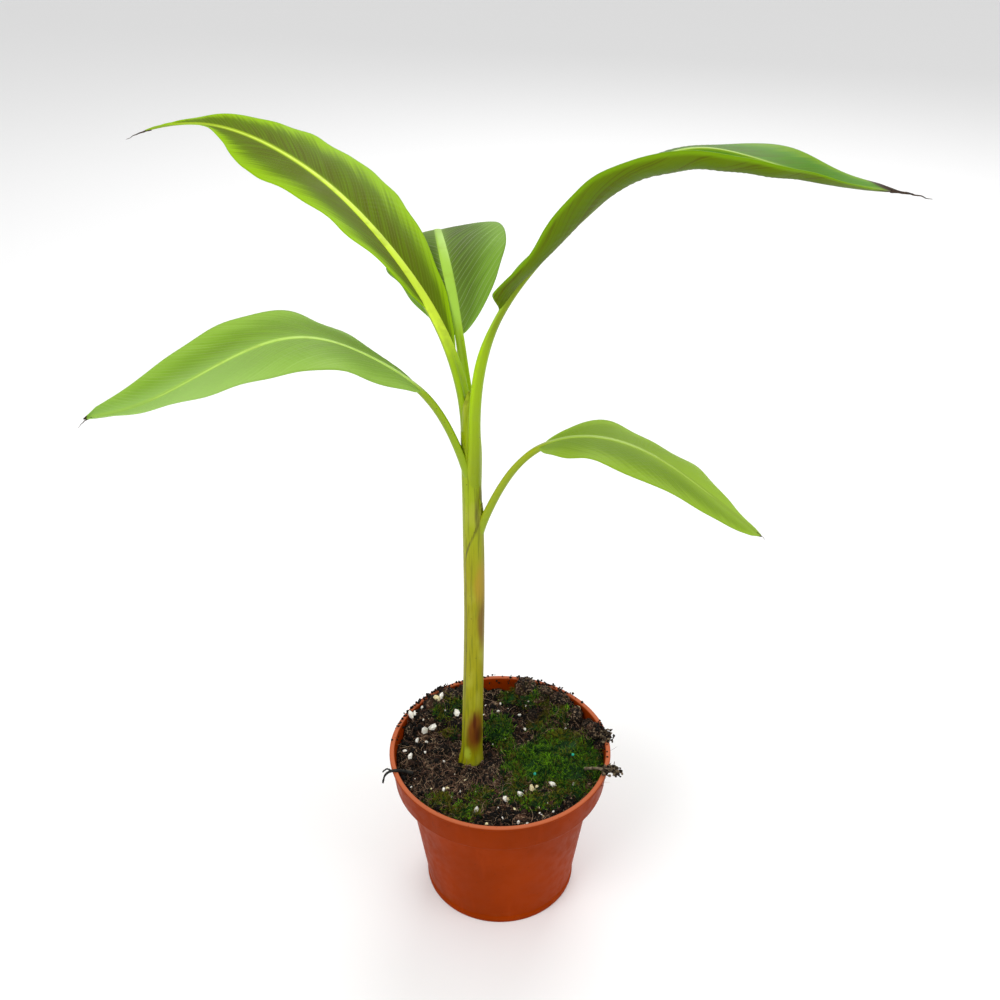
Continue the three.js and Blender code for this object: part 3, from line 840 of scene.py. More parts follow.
class BANANA_OT_bits(Operator):
    """The black root over the left of the rim, the dry sprig at its right, and small lumps there."""
    bl_idname = "banana.bits"
    bl_label = "Root and sprig"

    def execute(self, context):
        t = np.linspace(0, 1, 28)
        rim = np.array((0, 0, POT_HIGH[2] / MM))
        root = [round_tube((knots(ROOT, t) + rim) * MM, (0.95 - 0.5 * t) * MM, seed=5, roughness=0.3),
                round_tube((knots(ROOT_BRANCH, t) + rim) * MM, (0.6 - 0.3 * t) * MM, seed=6, roughness=0.3)]
        black = plain("root_black", tone(44, 44, 40), 0.8, tone(18, 18, 16), 600)
        seat(build("rim_root", *joined(root), [black]), "soil")
        radii = (0.8 + 0.5 * ease(t, 0.45, 0.85) - 0.9 * ease(t, 0.9, 1)) * MM
        twigs = [round_tube((knots(SPRIG, t) + rim) * MM, radii, 12, 7, 0.4)]
        for k, reach in enumerate(SPRIG_ARMS):
            arm = rim + (55 + k, -19.4, 1.6) + t[:, None] * reach
            twigs.append(round_tube(arm * MM, (0.45 - 0.3 * t) * MM, 8, 20 + k, 0.3))
        dry = plain("sprig_dry", tone(132, 118, 96), 0.9, tone(60, 52, 38), 500)
        seat(build("rim_sprig", *joined(twigs), [dry]), "soil")
        draw = np.random.default_rng(51)
        count = RIM_LUMPS
        middle = np.array(RIM_HEAPS)[draw.integers(0, len(RIM_HEAPS), count)]
        spots = (middle + draw.normal(0, 1, (count, 3)) * (1.7, 1.5, 0.9) + rim) * MM
        shades = {"dry": tone(120, 104, 80), "brown": tone(66, 54, 38), "dark": tone(34, 24, 16)}
        finishes = plains("rim", shades, scale=900)
        piece = lumps("rim_lumps", crumb(draw, 0.35), spots, draw.uniform(0.35, 1.05, count) * MM,
                      turns(count, draw), draw.integers(0, len(shades), count), finishes)
        seat(piece, "soil")
        return {"FINISHED"}


# ---- moss ----
class MossSettings(PropertyGroup):
    shoots: IntProperty(name="Shoots", description="Shoots on each square centimetre of moss", default=420)
    length: FloatProperty(name="Shoot length", description="Mean length", default=2.7 * MM, unit="LENGTH")
    bright: FloatVectorProperty(name="Bright", description="Fresh tips", size=3, subtype="COLOR",
                                default=tone(120, 176, 12))
    deep: FloatVectorProperty(name="Deep", description="Shaded shoots", size=3, subtype="COLOR",
                              default=tone(17, 62, 5))


# Cushions besides the two in the frame, mm: x, y, half sizes, height, and the share of olive shoots.
TUFTS = ((19, -34, 12, 6, 1.6, 0.7), (-19, -42, 9, 5.5, 2, 0.6), (22, 42, 11, 7, 2.2, 0.95),
         (6, 47, 6, 4.5, 3, 0.9), (35, 15, 12, 5, 1.8, 0.9), (38, -27, 10, 6, 1.5, 0.6),
         (-27, 18, 5, 4, 1, 0.95), (47, 2, 8, 9, 1.5, 0.45), (-26, 38, 5, 4, 1.5, 0.95),
         (8, -12, 7, 8, 1.6, 0.6), (-32, -34, 7, 4, 1.2, 0.9), (4, 6, 5, 7, 1.2, 0.7),
         (12, -1, 7, 7, 2.4, 0.3), (7, -25, 9, 7, 1.4, 0.8), (24, 25, 9, 6, 2.5, 0.95),
         (32, 30, 8, 6, 2, 0.9), (51, -13, 5, 9, 2, 0.3), (-10, -32, 8, 5, 1, 0.95),
         (-33, 30, 5, 4, 1.5, 1), (14, 50, 8, 5, 3, 0.95))


def cushion(x, y, rx, ry, height, seed):
    """A low closed mound: rings round the centre, their edge wavy, the height 1 - r^2 plus noise."""
    angles = circle(56)
    round_edge = 1 + 0.16 * drift(polar(1, angles, 0)[:, :2], 1.3, seed)
    shares = np.array([1, 1, 0.94, 0.84, 0.7, 0.54, 0.38, 0.22, 0.08])[:, None]
    px = (x + shares * rx * round_edge * np.cos(angles)) * MM
    py = (y + shares * ry * round_edge * np.sin(angles)) * MM
    uneven = 0.5 * MM * drift(np.stack([px, py], -1), 4 * MM, seed + 1)
    rings = on_ground(px, py, height * MM * (1 - shares**2) + uneven)
    rings[0, :, 2] = ground(px[0], py[0]) - 3 * MM
    return capped(rings)


def shoots(x, y, rx, ry, height, count, length, draw):
    """Tiny tapering three-sided shoots on a cushion, in tufts: each shoot belongs to the nearest of some
    random centres, leans away from it, is shorter the further it stands from it, and bends over towards its
    tip. Gives the shoots and the number of each one's tuft."""
    share, angle = np.sqrt(draw.uniform(0, 1.25, count)), draw.uniform(0, 2 * math.pi, count)
    share = share * (1 + 0.12 * np.sin(3 * angle + x) + 0.1 * np.sin(7 * angle + y))
    place = np.stack([x + share * rx * np.cos(angle), y + share * ry * np.sin(angle)], axis=1) * MM
    kept = np.hypot(*place.T) < SOIL_RADIUS + 1.5 * MM
    share, place = share[kept], place[kept]
    centres = place[draw.choice(len(place), max(3, len(place) // 45), replace=False)]
    tuft = np.hypot(*(place[:, None] - centres).transpose(2, 0, 1)).argmin(axis=1)
    off = (place - centres[tuft]) / (1.5 * MM)
    fringe = np.clip(np.hypot(*off.T), 0, 1)
    start = on_ground(*place.T, height * MM * np.clip(1 - share**2, 0, 1) + 0.9 * MM * (1 - fringe**2))
    count = len(start)
    way = unit(np.column_stack([off * 0.8, np.ones(count)]) + draw.normal(0, 0.35, (count, 3)))
    way[:, 2] = np.abs(way[:, 2])
    sag = unit(way + draw.normal(0, 0.5, (count, 3)) - (0, 0, 0.25))
    size = (length * draw.lognormal(0, 0.35, count).clip(0.4, 2.3) * (1.25 - 0.5 * fringe))[:, None]
    knee = start + way * size * 0.55
    line = np.stack([start, knee, knee + sag * size * 0.45], axis=1)
    girth = np.array([0.13, 0.17, 0.02])[None, :, None, None] * MM * draw.uniform(0.7, 1.35, (count, 1, 1, 1))
    return tubes(line, girth, (0.11, 0.07, 1)), tuft


def moss_finishes(moss):
    """Five tones of shoot: three greens, then olive and brown."""
    bright, deep = np.array(moss.bright), np.array(moss.deep)
    shades = {"deep": deep, "mid": deep * 0.45 + bright * 0.4, "bright": bright,
              "olive": bright * (0.95, 0.4, 0.8), "brown": bright * (0.6, 0.2, 0.9)}
    return plains("moss", shades, 0.75, 700)


# Shares of the five tones where the moss is fresh, and where it has dried to olive.
FRESH, OLIVE = np.array((0.42, 0.38, 0.17, 0.02, 0.01)), np.array((0.2, 0.12, 0.06, 0.3, 0.32))


def mossy(name, patches, moss, seed):
    """The mounds of several patches as one piece, and their shoots as another."""
    draw = np.random.default_rng(seed)
    mounds, blades, kinds = [], [], []
    for k, (x, y, rx, ry, height, olive) in enumerate(patches):
        mounds.append(cushion(x, y, rx, ry, height, seed + 7 * k))
        count = int(moss.shoots * math.pi * rx * ry / 100)
        made, tuft = shoots(x, y, rx, ry, height, count, moss.length, draw)
        grown = len(tuft)
        weights = FRESH * (1 - olive) + OLIVE * olive
        common, own = (draw.choice(5, size, p=weights / weights.sum()) for size in (tuft.max() + 1, grown))
        kind = np.where(draw.uniform(0, 1, grown) < 0.6, common[tuft], own)
        blades.append(made)
        kinds.append((np.repeat(kind, len(made[1]) // grown), np.repeat(kind, 2)))
    finishes = moss_finishes(moss)
    bed = build(f"{name}_bed", *joined(mounds), finishes[:1])
    order = np.concatenate([rows for part in zip(*kinds) for rows in part])
    return bed, build(f"{name}_shoots", *joined(blades), finishes, order)


class BANANA_OT_moss(Operator):
    """The moss: two large cushions and smaller tufts, each a mound grown over with shoots."""
    bl_idname = "banana.moss"
    bl_label = "Moss"

    def execute(self, context):
        moss = context.scene.banana_moss
        for seed, (name, olive) in enumerate((("moss_front", 0.12), ("moss_back", 0.05))):
            low, high = (corner / MM for corner in MOSS_BOXES[name])
            middle, half = (low + high) / 2, (high - low) / 2
            patch = (middle[0], middle[1], half[0], half[1], high[2] - low[2] - 0.7, olive)
            for piece in mossy(name, [patch], moss, 60 + seed):
                seat(piece, "moss", name)
        for piece in mossy("moss_tufts", TUFTS, moss, 70):
            seat(piece, "moss")
        return {"FINISHED"}


# ---- pseudostem ----
class StemSettings(PropertyGroup):
    sheath: FloatProperty(name="Sheath step", description="How far a leaf sheath's edge stands proud",
                          default=0.42 * MM, unit="LENGTH")
    colour: FloatVectorProperty(name="Colour", description="Lower stem", size=3, subtype="COLOR",
                                default=tone(150, 146, 6))
    fresh: FloatVectorProperty(name="Fresh", description="Upper stem", size=3, subtype="COLOR",
                               default=tone(150, 170, 4))
    bruise: FloatVectorProperty(name="Bruise", description="Dried, red-brown patches", size=3,
                                subtype="COLOR", default=tone(112, 58, 16))


STEM_X = (-15.3, -13, -13.8)  # the axis at the soil, halfway and at the axils, mm
STEM_HEIGHT = 223 * MM
# Height above the soil against radius, mm: a flare at the soil, a slow taper, and an end inside the petioles.
STEM_RADII = np.array(((-6, 7.0), (0, 6.6), (3, 6.0), (9, 5.5), (60, 5.0), (145, 5.0), (204, 4.5), (216, 3.5),
                       (223, 1.2)))
# The two leaf sheaths that still wrap the stem: heading of the petiole, height of its axil, mm, and the
# degrees round from the petiole to each of the sheath's edges.
SHEATHS = ((-26, 249, 112), (200, 287, 155))
SHEATH_NARROW = 12  # degrees that a sheath reaches to each side at its axil
SHEATH_DEPTH = 34 * MM  # how far below its axil a sheath is still narrower, and shows as a shape of its own
DARK_BRUISE = tone(74, 26, 8)
# Stains on the stem: mm to the right of its axis halfway up, place towards the front as a share of the stem's
# half depth, height and half sizes, mm, colour (None: the bruise colour in the settings), and strength.
STAINS = ((5, -0.6, 179, (4.5, 6, 22), tone(112, 70, 14), 0.9),
          (4, -0.5, 203, (5, 7, 18), tone(176, 132, 40), 0.55),
          (1, -0.8, 107, (8, 6, 21), None, 0.95),
          (3, -0.7, 104, (5, 6, 10), DARK_BRUISE, 0.95),
          (-0.5, -0.8, 115, (1.2, 4, 9), DARK_BRUISE, 0.8),
          (2, -0.9, 243, (1.8, 4, 16), tone(74, 66, 18), 0.9),
          (4.5, -0.5, 252, (2.5, 4, 10), tone(104, 96, 24), 0.7),
          (-4.5, -0.5, 92, (3, 5, 6), tone(178, 196, 60), 0.7))


def stem_axis(z):
    """How far along X the stem's axis lies at a height."""
    return knots(STEM_X, (z - STEM_LOW[2]) / STEM_HEIGHT) * MM


def stem_radius(z):
    """The stem's radius at a height."""
    return np.interp((z - STEM_LOW[2]) / MM, *STEM_RADII.T) * MM


def sheath_reach(around, z, heading, top, lap):
    """Degrees from each place round the stem to a sheath's edge, positive under the sheath: it covers the
    angles within a reach of its petiole's heading, which widens from narrow at the axil to lap lower down."""
    reach = SHEATH_NARROW + (lap - SHEATH_NARROW) * ease(top * MM - z, 0, SHEATH_DEPTH)
    off = np.abs((np.degrees(around) - heading + 180) % 360 - 180)
    return reach - off


def sheath_cover(around, z, heading, top, lap):
    """1 where a sheath wraps the stem, 0 beyond its edge."""
    return ease(sheath_reach(around, z, heading, top, lap), -2.4, 2.4) * (z < top * MM)


def stem_surface(sheath):
    """Rings round the stem's leaning axis: the radius at each height, plus a step for each sheath, plus fine
    ridges along the stem and a slow unevenness. Gives the surface, and for each point its turn from the back
    and how far it lies from the first sheath's edge."""
    z = (STEM_LOW[2] + np.linspace(-6 * MM, STEM_HEIGHT, 380))[:, None]
    around = circle(132)[None, :]
    radius = stem_radius(z) * (1 + 0.012 * drift(polar(1, around, z / (40 * MM)), 1.6, 3))
    radius = radius + sum(sheath * (sheath_cover(around, z, *lap) - 0.5) for lap in SHEATHS)
    radius = radius + 0.035 * MM * np.cos(around * 33 + 2 * np.sin(z / (30 * MM)))
    flare = 1 + 0.1 * np.exp(-(z - STEM_LOW[2]) / (7 * MM)).clip(0, 1.6) * np.cos(around - math.pi)
    rings = polar(radius * flare, around, z)
    rings[..., 0] += stem_axis(z)
    share = ((around / (2 * math.pi) - 0.25) % 1, sheath_reach(around, z, *SHEATHS[0]) / 180)
    shares = np.stack(np.broadcast_arrays(*share), axis=-1).reshape(-1, 2)
    return capped(rings), np.concatenate([shares, [[0.5, 0.5], [0.5, 0.5]]])


def stain(finish, place, centre, size, wander=0.7, scale=140):
    """1 at the middle of an ellipsoid and 0 outside it, with a ragged edge."""
    shifted = finish.node("VectorMath", {0: place, 1: centre}, operation="SUBTRACT").outputs[0]
    scaled = finish.node("VectorMath", {0: shifted, 1: size}, operation="DIVIDE").outputs[0]
    away = finish.node("VectorMath", {0: scaled}, operation="LENGTH").outputs["Value"]
    ragged = finish.noise(finish.place((1, 1, 0.3)), scale, 4)
    return finish.span(finish.plus(away, finish.times(ragged, wander)), 0.7, 1.35, 1, 0)


def stem_finish(stem):
    """The sheaths: olive below and greener above, in streaks along the stem, with the stains, dark specks, a
    dark line of painted shade at the first sheath's edge, and painted shade on the right side."""
    finish = Finish("stem_skin", 0.42, 0.2, colour=stem.colour, subsurface=0.06)
    place, height = finish.place(), finish.height()
    finish.coat(finish.span(height, 0.2, 0.262), stem.fresh)
    finish.coat(finish.span(height, 0.09, 0.16, 0.5, 0), tone(140, 146, 2))
    streaks = finish.noise(finish.place((1, 1, 0.05)), 900)
    finish.coat(finish.span(streaks, 0.48, 0.68, 0, 0.55), tone(96, 104, 8))
    finish.mottle(tone(182, 182, 70), 0.35, 0.5, 0.75, 120, stretch=(1, 1, 0.4))
    for across, depth, level, size, shade, strength in STAINS:
        centre = ((STEM_X[1] + across) * MM, STEM_HIGH[1] * depth, level * MM)
        stained = stain(finish, place, centre, tuple(side * MM for side in size))
        finish.coat(finish.times(stained, strength), shade or stem.bruise)
    finish.mottle(tone(70, 58, 16), 0.8, 0.745, 0.775, 1100, 1, stretch=(1, 1, 0.5))
    turn, off = finish.parts("stem")
    # A thin dark line along the first sheath's edge: painted shade, the shadow of the sheath's step.
    edge = finish.times(finish.span(finish.maths("ABSOLUTE", off), 0.015, 0.055, 1, 0),
                        finish.span(height, 0.236, 0.246, 1, 0), finish.span(streaks, 0.35, 0.6, 0.35, 0.9))
    finish.coat(edge, tone(84, 78, 16))
    # The right side of the stem darkened: painted shade.
    shaded = finish.times(finish.span(turn, 0.55, 0.7, 0, 0.35), finish.span(turn, 0.8, 0.95, 1, 0))
    finish.coat(shaded, tone(112, 100, 10))
    ridges = finish.noise(finish.place((1, 1, 0.02)), 1500, 2)
    return finish.sealed(finish.bump(ridges, 0.12 * MM, 0.6), finish.span(streaks, 0.3, 0.7, 0.36, 0.52))


class BANANA_OT_pseudostem(Operator):
    """The pseudostem: rolled leaf sheaths, from the flare at the soil to the axils."""
    bl_idname = "banana.pseudostem"
    bl_label = "Pseudostem"

    def execute(self, context):
        stem = context.scene.banana_stem
        surface, shares = stem_surface(stem.sheath)
        piece = build("stem_sheaths", *surface, [stem_finish(stem)], maps={"stem": shares})
        seat(piece, "stem", "pseudostem")
        return {"FINISHED"}


# ---- leaves ----
class LeafSettings(PropertyGroup):
    thickness: FloatProperty(name="Blade thickness", description="Thickness of the blades",
                             default=0.34 * MM, unit="LENGTH")
    vein_gap: FloatProperty(name="Vein gap", description="Distance between the main side veins",
                            default=3.3 * MM, unit="LENGTH")
    pleat: FloatProperty(name="Pleat", description="Height of the pleats between side veins",
                         default=0.11 * MM, unit="LENGTH")
    ripple: FloatProperty(name="Ripple", description="Height of the waves along the margins",
                          default=0.8 * MM, unit="LENGTH")
    translucency: FloatProperty(name="Translucency", description="Share of light that passes through a blade",
                                default=0.3, subtype="FACTOR")
    petiole: FloatVectorProperty(name="Petiole", description="Petioles", size=3, subtype="COLOR",
                                 default=tone(148, 182, 4))
    dry: FloatVectorProperty(name="Dry", description="Withered tips", size=3, subtype="COLOR",
                             default=tone(74, 58, 44))


# Half width of each leaf's rib at the blade's base, a third along, two thirds along and at the tip, mm.
RIBS = {"lower_right": (1.4, 0.9, 0.6, 0.3), "lower_left": (1.5, 1.1, 0.7, 0.3),
        "upper_right": (1.9, 1.3, 0.8, 0.35), "upper_left": (1.8, 1.05, 0.65, 0.3),
        "centre": (2.4, 1.9, 1.3, 0.5)}
# How much wider each petiole is where it leaves the stem, mm.
FLARES = {"lower_right": 1.5, "lower_left": 1.1, "upper_right": 0.3, "upper_left": 0.4, "centre": 0.3}


def midrib(leaf, t):
    """Points and directions (along, side, up) of a leaf's midrib at shares t: the rise and heading angles,
    added up along its length."""
    steps = np.linspace(0, 1, 401)
    rise, heading = (np.radians(knots(leaf[key], steps)) for key in ("rise", "heading"))
    roll = np.radians(leaf["roll"] * np.clip(1 - steps / ROLL_FADES, 0, 1))
    along = polar(np.cos(rise), heading, np.sin(rise))
    level = polar(1, heading + math.pi / 2, 0)
    side = level * np.cos(roll)[:, None] + np.cross(along, level) * np.sin(roll)[:, None]
    stride = (along[1:] + along[:-1]) / 2 * leaf["length"] * MM / (len(steps) - 1)
    points = np.array(leaf["at"]) * MM + np.concatenate([np.zeros((1, 3)), np.cumsum(stride, axis=0)])
    points, along, side = (np.stack([np.interp(t, steps, column) for column in rows.T], axis=-1)
                           for rows in (points, along, side))
    along, side = unit(along), unit(side)
    return points, along, side, np.cross(along, side)


def rib_width(name, leaf, u):
    """Half width of the rib at shares u of the blade, from the petiole's own radius at its base."""
    return knots((leaf["thick"][1], *RIBS[name]), u) * MM


def limb_surface(name, leaf):
    """A petiole as one closed tapering tube from inside the stem to the leaf's tip. Its line leaves the
    stem's axis on a cubic curve and then follows the midrib. Its section is round below; above it is lowered
    by 0.62 sin^4, which makes the channel, and along the blade it is flattened into the pale rib. Gives the
    surface, and for each point its share of the midrib, below 0 inside the stem, and of the section."""
    start, ahead, _, _ = midrib(leaf, np.array([0.0]))
    foot = start[0] - (0, 0, SHEATH_DEPTH)
    foot[:2] = stem_axis(foot[2]), 0
    s = np.linspace(0, 1, 30)[:-1]
    pull = SHEATH_DEPTH / 3
    corners = ((1, foot), (3, foot + (0, 0, pull)), (3, start[0] - ahead[0] * pull), (1, start[0]))
    below = sum(c * p * (s**k * (1 - s) ** (3 - k))[:, None] for k, (c, p) in enumerate(corners))
    t = np.linspace(0, 0.985, 190)
    above, _, side, _ = midrib(leaf, t)
    line = np.concatenate([below, above])
    along = unit(np.gradient(line, axis=0))
    side = np.concatenate([np.repeat(side[:1], len(below), axis=0), side])
    side = unit(side - along * (side * along).sum(axis=1, keepdims=True))
    up = np.cross(along, side)
    blade, thick, flare = leaf["blade"], np.array(leaf["thick"]) * MM, FLARES[name] * MM
    rib = rib_width(name, leaf, np.clip((t - blade) / (1 - blade), 0, 1))
    stalk = thick[0] + (thick[1] - thick[0]) * t / blade + flare * np.exp(-t * leaf["length"] / 6)
    swell = ease(s, 0, 1)
    wrapped = stem_radius(below[:, 2]) - 0.35 * MM
    hidden = wrapped * (1 - swell) + (thick[0] + flare) * swell
    radius = np.concatenate([hidden, np.where(t < blade, stalk, rib)])
    flat = np.concatenate([np.zeros(len(s)), ease(t, blade - 0.05, blade + 0.06)])[:, None]
    open_share = np.concatenate([ease(s, 0.6, 1), np.ones(len(t))])[:, None]
    angle = circle(30)
    lift = np.sin(angle)
    channel = 1 - (0.62 - 0.4 * flat) * open_share * np.clip(lift, 0, 1) ** 4
    depth = np.where(lift > 0, (1 - 0.62 * flat) * channel, 1 - 0.1 * flat)
    ring = side[:, None] * np.cos(angle)[:, None] + up[:, None] * (lift * depth)[..., None]
    share = np.concatenate([(s - 1) * 0.2, t])
    shares = np.stack(np.broadcast_arrays(share[:, None], (lift + 1)[None, :] / 2), axis=-1).reshape(-1, 2)
    ends = [[share[0], 0.5], [share[-1], 0.5]]
    return capped(line[:, None] + ring * radius[:, None, None]), np.concatenate([shares, ends])


def limb_finish(name, leaf, look, leaves, stem):
    """Olive at the sheath, lime along the petiole, and the leaf's own pale tone along the blade."""
    finish = Finish(f"petiole_skin_{name}", 0.4, 0.2, colour=stem.fresh, subsurface=0.08)
    share, lift = finish.parts("limb")
    blade = leaf["blade"]
    to_rib = (blade - 0.02, blade + 0.06)
    finish.coat(finish.span(share, -0.1, 0.12), look["petiole"] or leaves.petiole)
    finish.coat(finish.span(share, *to_rib), look["rib"])
    under = finish.times(finish.span(lift, 0.35, 0.6, 1, 0), finish.span(share, *to_rib, 0.45, 0.9))
    finish.coat(under, look["rib_under"])
    finish.mottle(tone(140, 160, 40), 0.35, 0.48, 0.72, 160, 4)
    specks = finish.span(finish.noise(finish.place(), 800, 1), 0.75, 0.78, 0, 0.7)
    finish.coat(finish.times(specks, finish.span(share, blade, blade + 0.05, 1, 0)), tone(86, 74, 30))
    return finish.sealed(finish.bump(finish.noise(finish.place(), 700), 0.08 * MM, 0.6))


class BANANA_OT_petioles(Operator):
    """The petioles: each a channelled, tapering limb that runs on as the rib of its blade."""
    bl_idname = "banana.petioles"
    bl_label = "Petioles and ribs"

    def execute(self, context):
        scene = context.scene
        for name in LEAF_NAMES:
            surface, shares = limb_surface(name, LEAVES[name])
            finish = limb_finish(name, LEAVES[name], LOOKS[name], scene.banana_leaves, scene.banana_stem)
            piece = build(f"limb_{name}", *surface, [finish], maps={"limb": shares})
            seat(piece, "petiole", f"petiole_{name}")
        return {"FINISHED"}


def half_width(half, full, u):
    """Half width at shares u of the blade: width sin(pi v^p)^full, where v runs to 1 at the half's end and p
    puts the sine's peak at the widest place; times 1 + depth cos(2 pi count (u - crest)) for the waves;
    plus the least width."""
    bend = math.log(0.5) / math.log(half["widest"] / half["end"])
    outline = np.sin(math.pi * np.clip(u / half["end"], 0, 1) ** bend).clip(0) ** full
    deep, count, crest = half.get("waves", (0, 1, 0))
    return half["width"] * MM * outline * (1 + deep * np.cos(2 * math.pi * count * (u - crest))) + LEAST_WIDTH


BLADE_ROWS, BLADE_HALF = 300, 22  # points along a blade, and across each half of it beyond the rib


def half_blade(name, key, leaves, seed):
    """One half of a blade's upper face, as a grid along by across. It leaves the rib level, then turns by its
    fold and curl; a point is the sum of the steps from the rib. Pleats follow the side veins, and the margin
    carries slow waves. Gives the points, and for each its place across the side veins, its distance from the
    rib, and its shares along and across the blade."""
    leaf, look, sign = LEAVES[name], LOOKS[name], 1 if key == "left" else -1
    half = leaf[key]
    u = np.linspace(0, 1, BLADE_ROWS)
    line, _, side, up = midrib(leaf, leaf["blade"] + u * (1 - leaf["blade"]))
    to_tip = (1 - leaf["blade"]) * leaf["length"] * MM
    width = half_width(half, leaf["full"], u) * np.sqrt(np.clip((1 - u) / 0.035, 0, 1))
    scallops = look["scallop"] * drift(u[:, None], 30 * MM / to_tip, seed + 7 + sign)
    width = width * (1 + scallops * ease(u, 0, 0.15) * ease(1 - u, 0.05, 0.3))
    width = (width * ease(u, *look[f"start_{key}"]) + 0.15 * MM)[:, None]
    u, along = u[:, None], u[:, None] * to_tip
    inner = np.minimum(0.85 * rib_width(name, leaf, u), 0.6 * width)
    share = np.concatenate([[0, 0.5, 1], 1 + np.linspace(0, 1, BLADE_HALF)[1:]])
    reach = np.where(share <= 1, inner * share, inner + (width - inner) * (share - 1))
    across = np.clip(reach / width, 0, 1)
    middle = (across[:, 1:] + across[:, :-1]) / 2
    turn = knots(half["fold"], u) + knots(half["curl"], u) * middle
    angle = np.radians(np.where(share[1:] <= 1, 0, turn))
    stride = np.diff(reach, axis=1)
    out = np.pad(np.cumsum(stride * np.cos(angle), axis=1) * sign, ((0, 0), (1, 0)))
    lift = np.pad(np.cumsum(stride * np.sin(angle), axis=1), ((0, 0), (1, 0)))
    wander = drift(np.stack(np.broadcast_arrays(along, sign * reach * 0.3), -1), 26 * MM, seed + 9)
    vein = along - look["slant"] * reach - 5 * reach**2 + 0.6 * MM * wander
    fade = ease(across, 0.06, 0.3) * (1 - 0.75 * ease(across, 0.75, 1)) * ease(1 - u, 0.02, 0.25)
    uneven = 0.75 + 0.5 * drift(np.stack([vein, reach * 0.1 * sign], -1), 9 * MM, seed + 3)
    shift = leaves.pleat * fade * uneven * np.cos(2 * math.pi * vein / leaves.vein_gap)
    spot = np.stack(np.broadcast_arrays(along, sign * reach), axis=-1)
    shift += leaves.ripple * across**2.5 * drift(spot, 34 * MM, seed + sign) * ease(u, 0, 0.12)
    shift += 0.5 * MM * across * drift(spot, 60 * MM, seed + 5) * ease(u, 0, 0.15)
    facing = np.pad(angle, ((0, 0), (1, 0)), mode="edge")
    points = (line[:, None] + side[:, None] * (out - np.sin(facing) * sign * shift)[..., None]
              + up[:, None] * (lift + np.cos(facing) * shift)[..., None])
    return points, np.stack(np.broadcast_arrays(vein, sign * reach, u, across), axis=-1)


def blade_surface(name, leaves, seed):
    """Both halves of a blade as one grid, from the right margin over the rib to the left, with its maps."""
    left, right = (half_blade(name, key, leaves, seed) for key in ("left", "right"))
    grid, maps = (np.concatenate([b[:, ::-1], a[:, 1:]], axis=1) for a, b in zip(left, right))
    maps = maps.reshape(-1, 4)
    quads = lattice(BLADE_ROWS, grid.shape[1])[:, ::-1]
    return grid.reshape(-1, 3), quads, {"veins": maps[:, :2] / (10 * MM), "shares": maps[:, 2:]}


def blade_finish(name, look, leaves, upper):
    """The blade's face: body tone, a margin brightened as painted glow of light through the thin edge, an
    olive zone in streaks between the side veins, pale fine veins, the pale edge of the rib, and a withered
    tip. The under side is drawn to its own tone, with brown blotches where that tone is strong, and a margin
    with the same painted glow. Part of the light passes through."""
    face, gloss = ("upper", look["gloss"]) if upper else ("under", 0.08)
    finish = Finish(f"blade_{face}_{name}", 0.42, gloss, colour=look["body"])
    span, times, plus = finish.span, finish.times, finish.plus
    vein, reach = finish.parts("veins")
    u, across = finish.parts("shares")
    side_vein = finish.node("CombineXYZ", {"X": vein, "Y": times(reach, 0.07)}).outputs[0]
    streak = finish.noise(side_vein, 4.2, 4)
    cloud = finish.noise(finish.place(), 34)
    finish.coat(span(cloud, 0.3, 0.7), (c * 0.86 for c in look["body"]))
    edge = plus(across, times(streak, 0.5))
    zone = times(span(across, 0.03, 0.15), span(edge, 0.6, 1.0, 1, 0), span(streak, 0.36, 0.56, 0.15, 1),
                 span(u, 0.02, 0.25, 0.3, 1), span(u, 0.6, 0.92, 1, 0.1), look["zone_share"])
    finish.coat(zone, look["zone"])
    # The margin tone, brighter than the body: painted glow of light through the thin edge.
    finish.coat(span(edge, 0.8, 1.2, 0, 0.95), look["margin"])
    if look["glow"]:
        finish.coat(times(span(reach, -0.9, 0.2), span(u, 0.3, 0.8, 0.15, 0.85)), look["glow"])
    cycle = 2 * math.pi * 10 * MM / leaves.vein_gap
    wobble = times(finish.noise(side_vein, 1.3, 2), 0.35)
    main = finish.maths("SINE", times(plus(vein, wobble), cycle))
    fine = finish.maths("SINE", times(vein, 3.7 * cycle))
    lines = plus(span(main, 0.9, 1, 0, 0.55), span(fine, 0.4, 1, 0, 0.22))
    finish.coat(times(lines, span(streak, 0.35, 0.65, 0.4, 1), 0.75), look["vein"])
    finish.coat(span(finish.maths("ABSOLUTE", reach), 0.1, 0.2, 0.7, 0), look["rib"])
    if look["dry"]:
        withered = plus(u, times(across, look["dry"]))
        finish.coat(span(withered, 1 - look["dry"], 1 - 0.3 * look["dry"]), leaves.dry)
    if not upper:
        finish.coat(look["under_share"], look["under"])
        blotched = 3 * (look["under_share"] - USUAL_LOOK["under_share"])
        finish.coat(span(streak, 0.5, 0.66, 0, blotched), tone(84, 66, 6))
        # The under side's margin gets the same painted glow.
        finish.coat(span(across, 0.9, 0.97, 0, 0.8), look["margin"])
    relief = finish.bump(plus(times(fine, 0.3), times(streak, 1.2)), 0.07 * MM, 0.8)
    material = finish.sealed(relief, span(cloud, 0.3, 0.7, 0.36, 0.5))
    passing = finish.mix(1.0, finish.colour, tone(236, 255, 150), "MULTIPLY")
    glow = finish.node("BsdfTranslucent", {"Color": passing}).outputs[0]
    shared = finish.node("MixShader", {0: leaves.translucency, 1: finish.shader.outputs[0], 2: glow})
    finish.feed(finish.output.inputs["Surface"], shared.outputs[0])
    return material


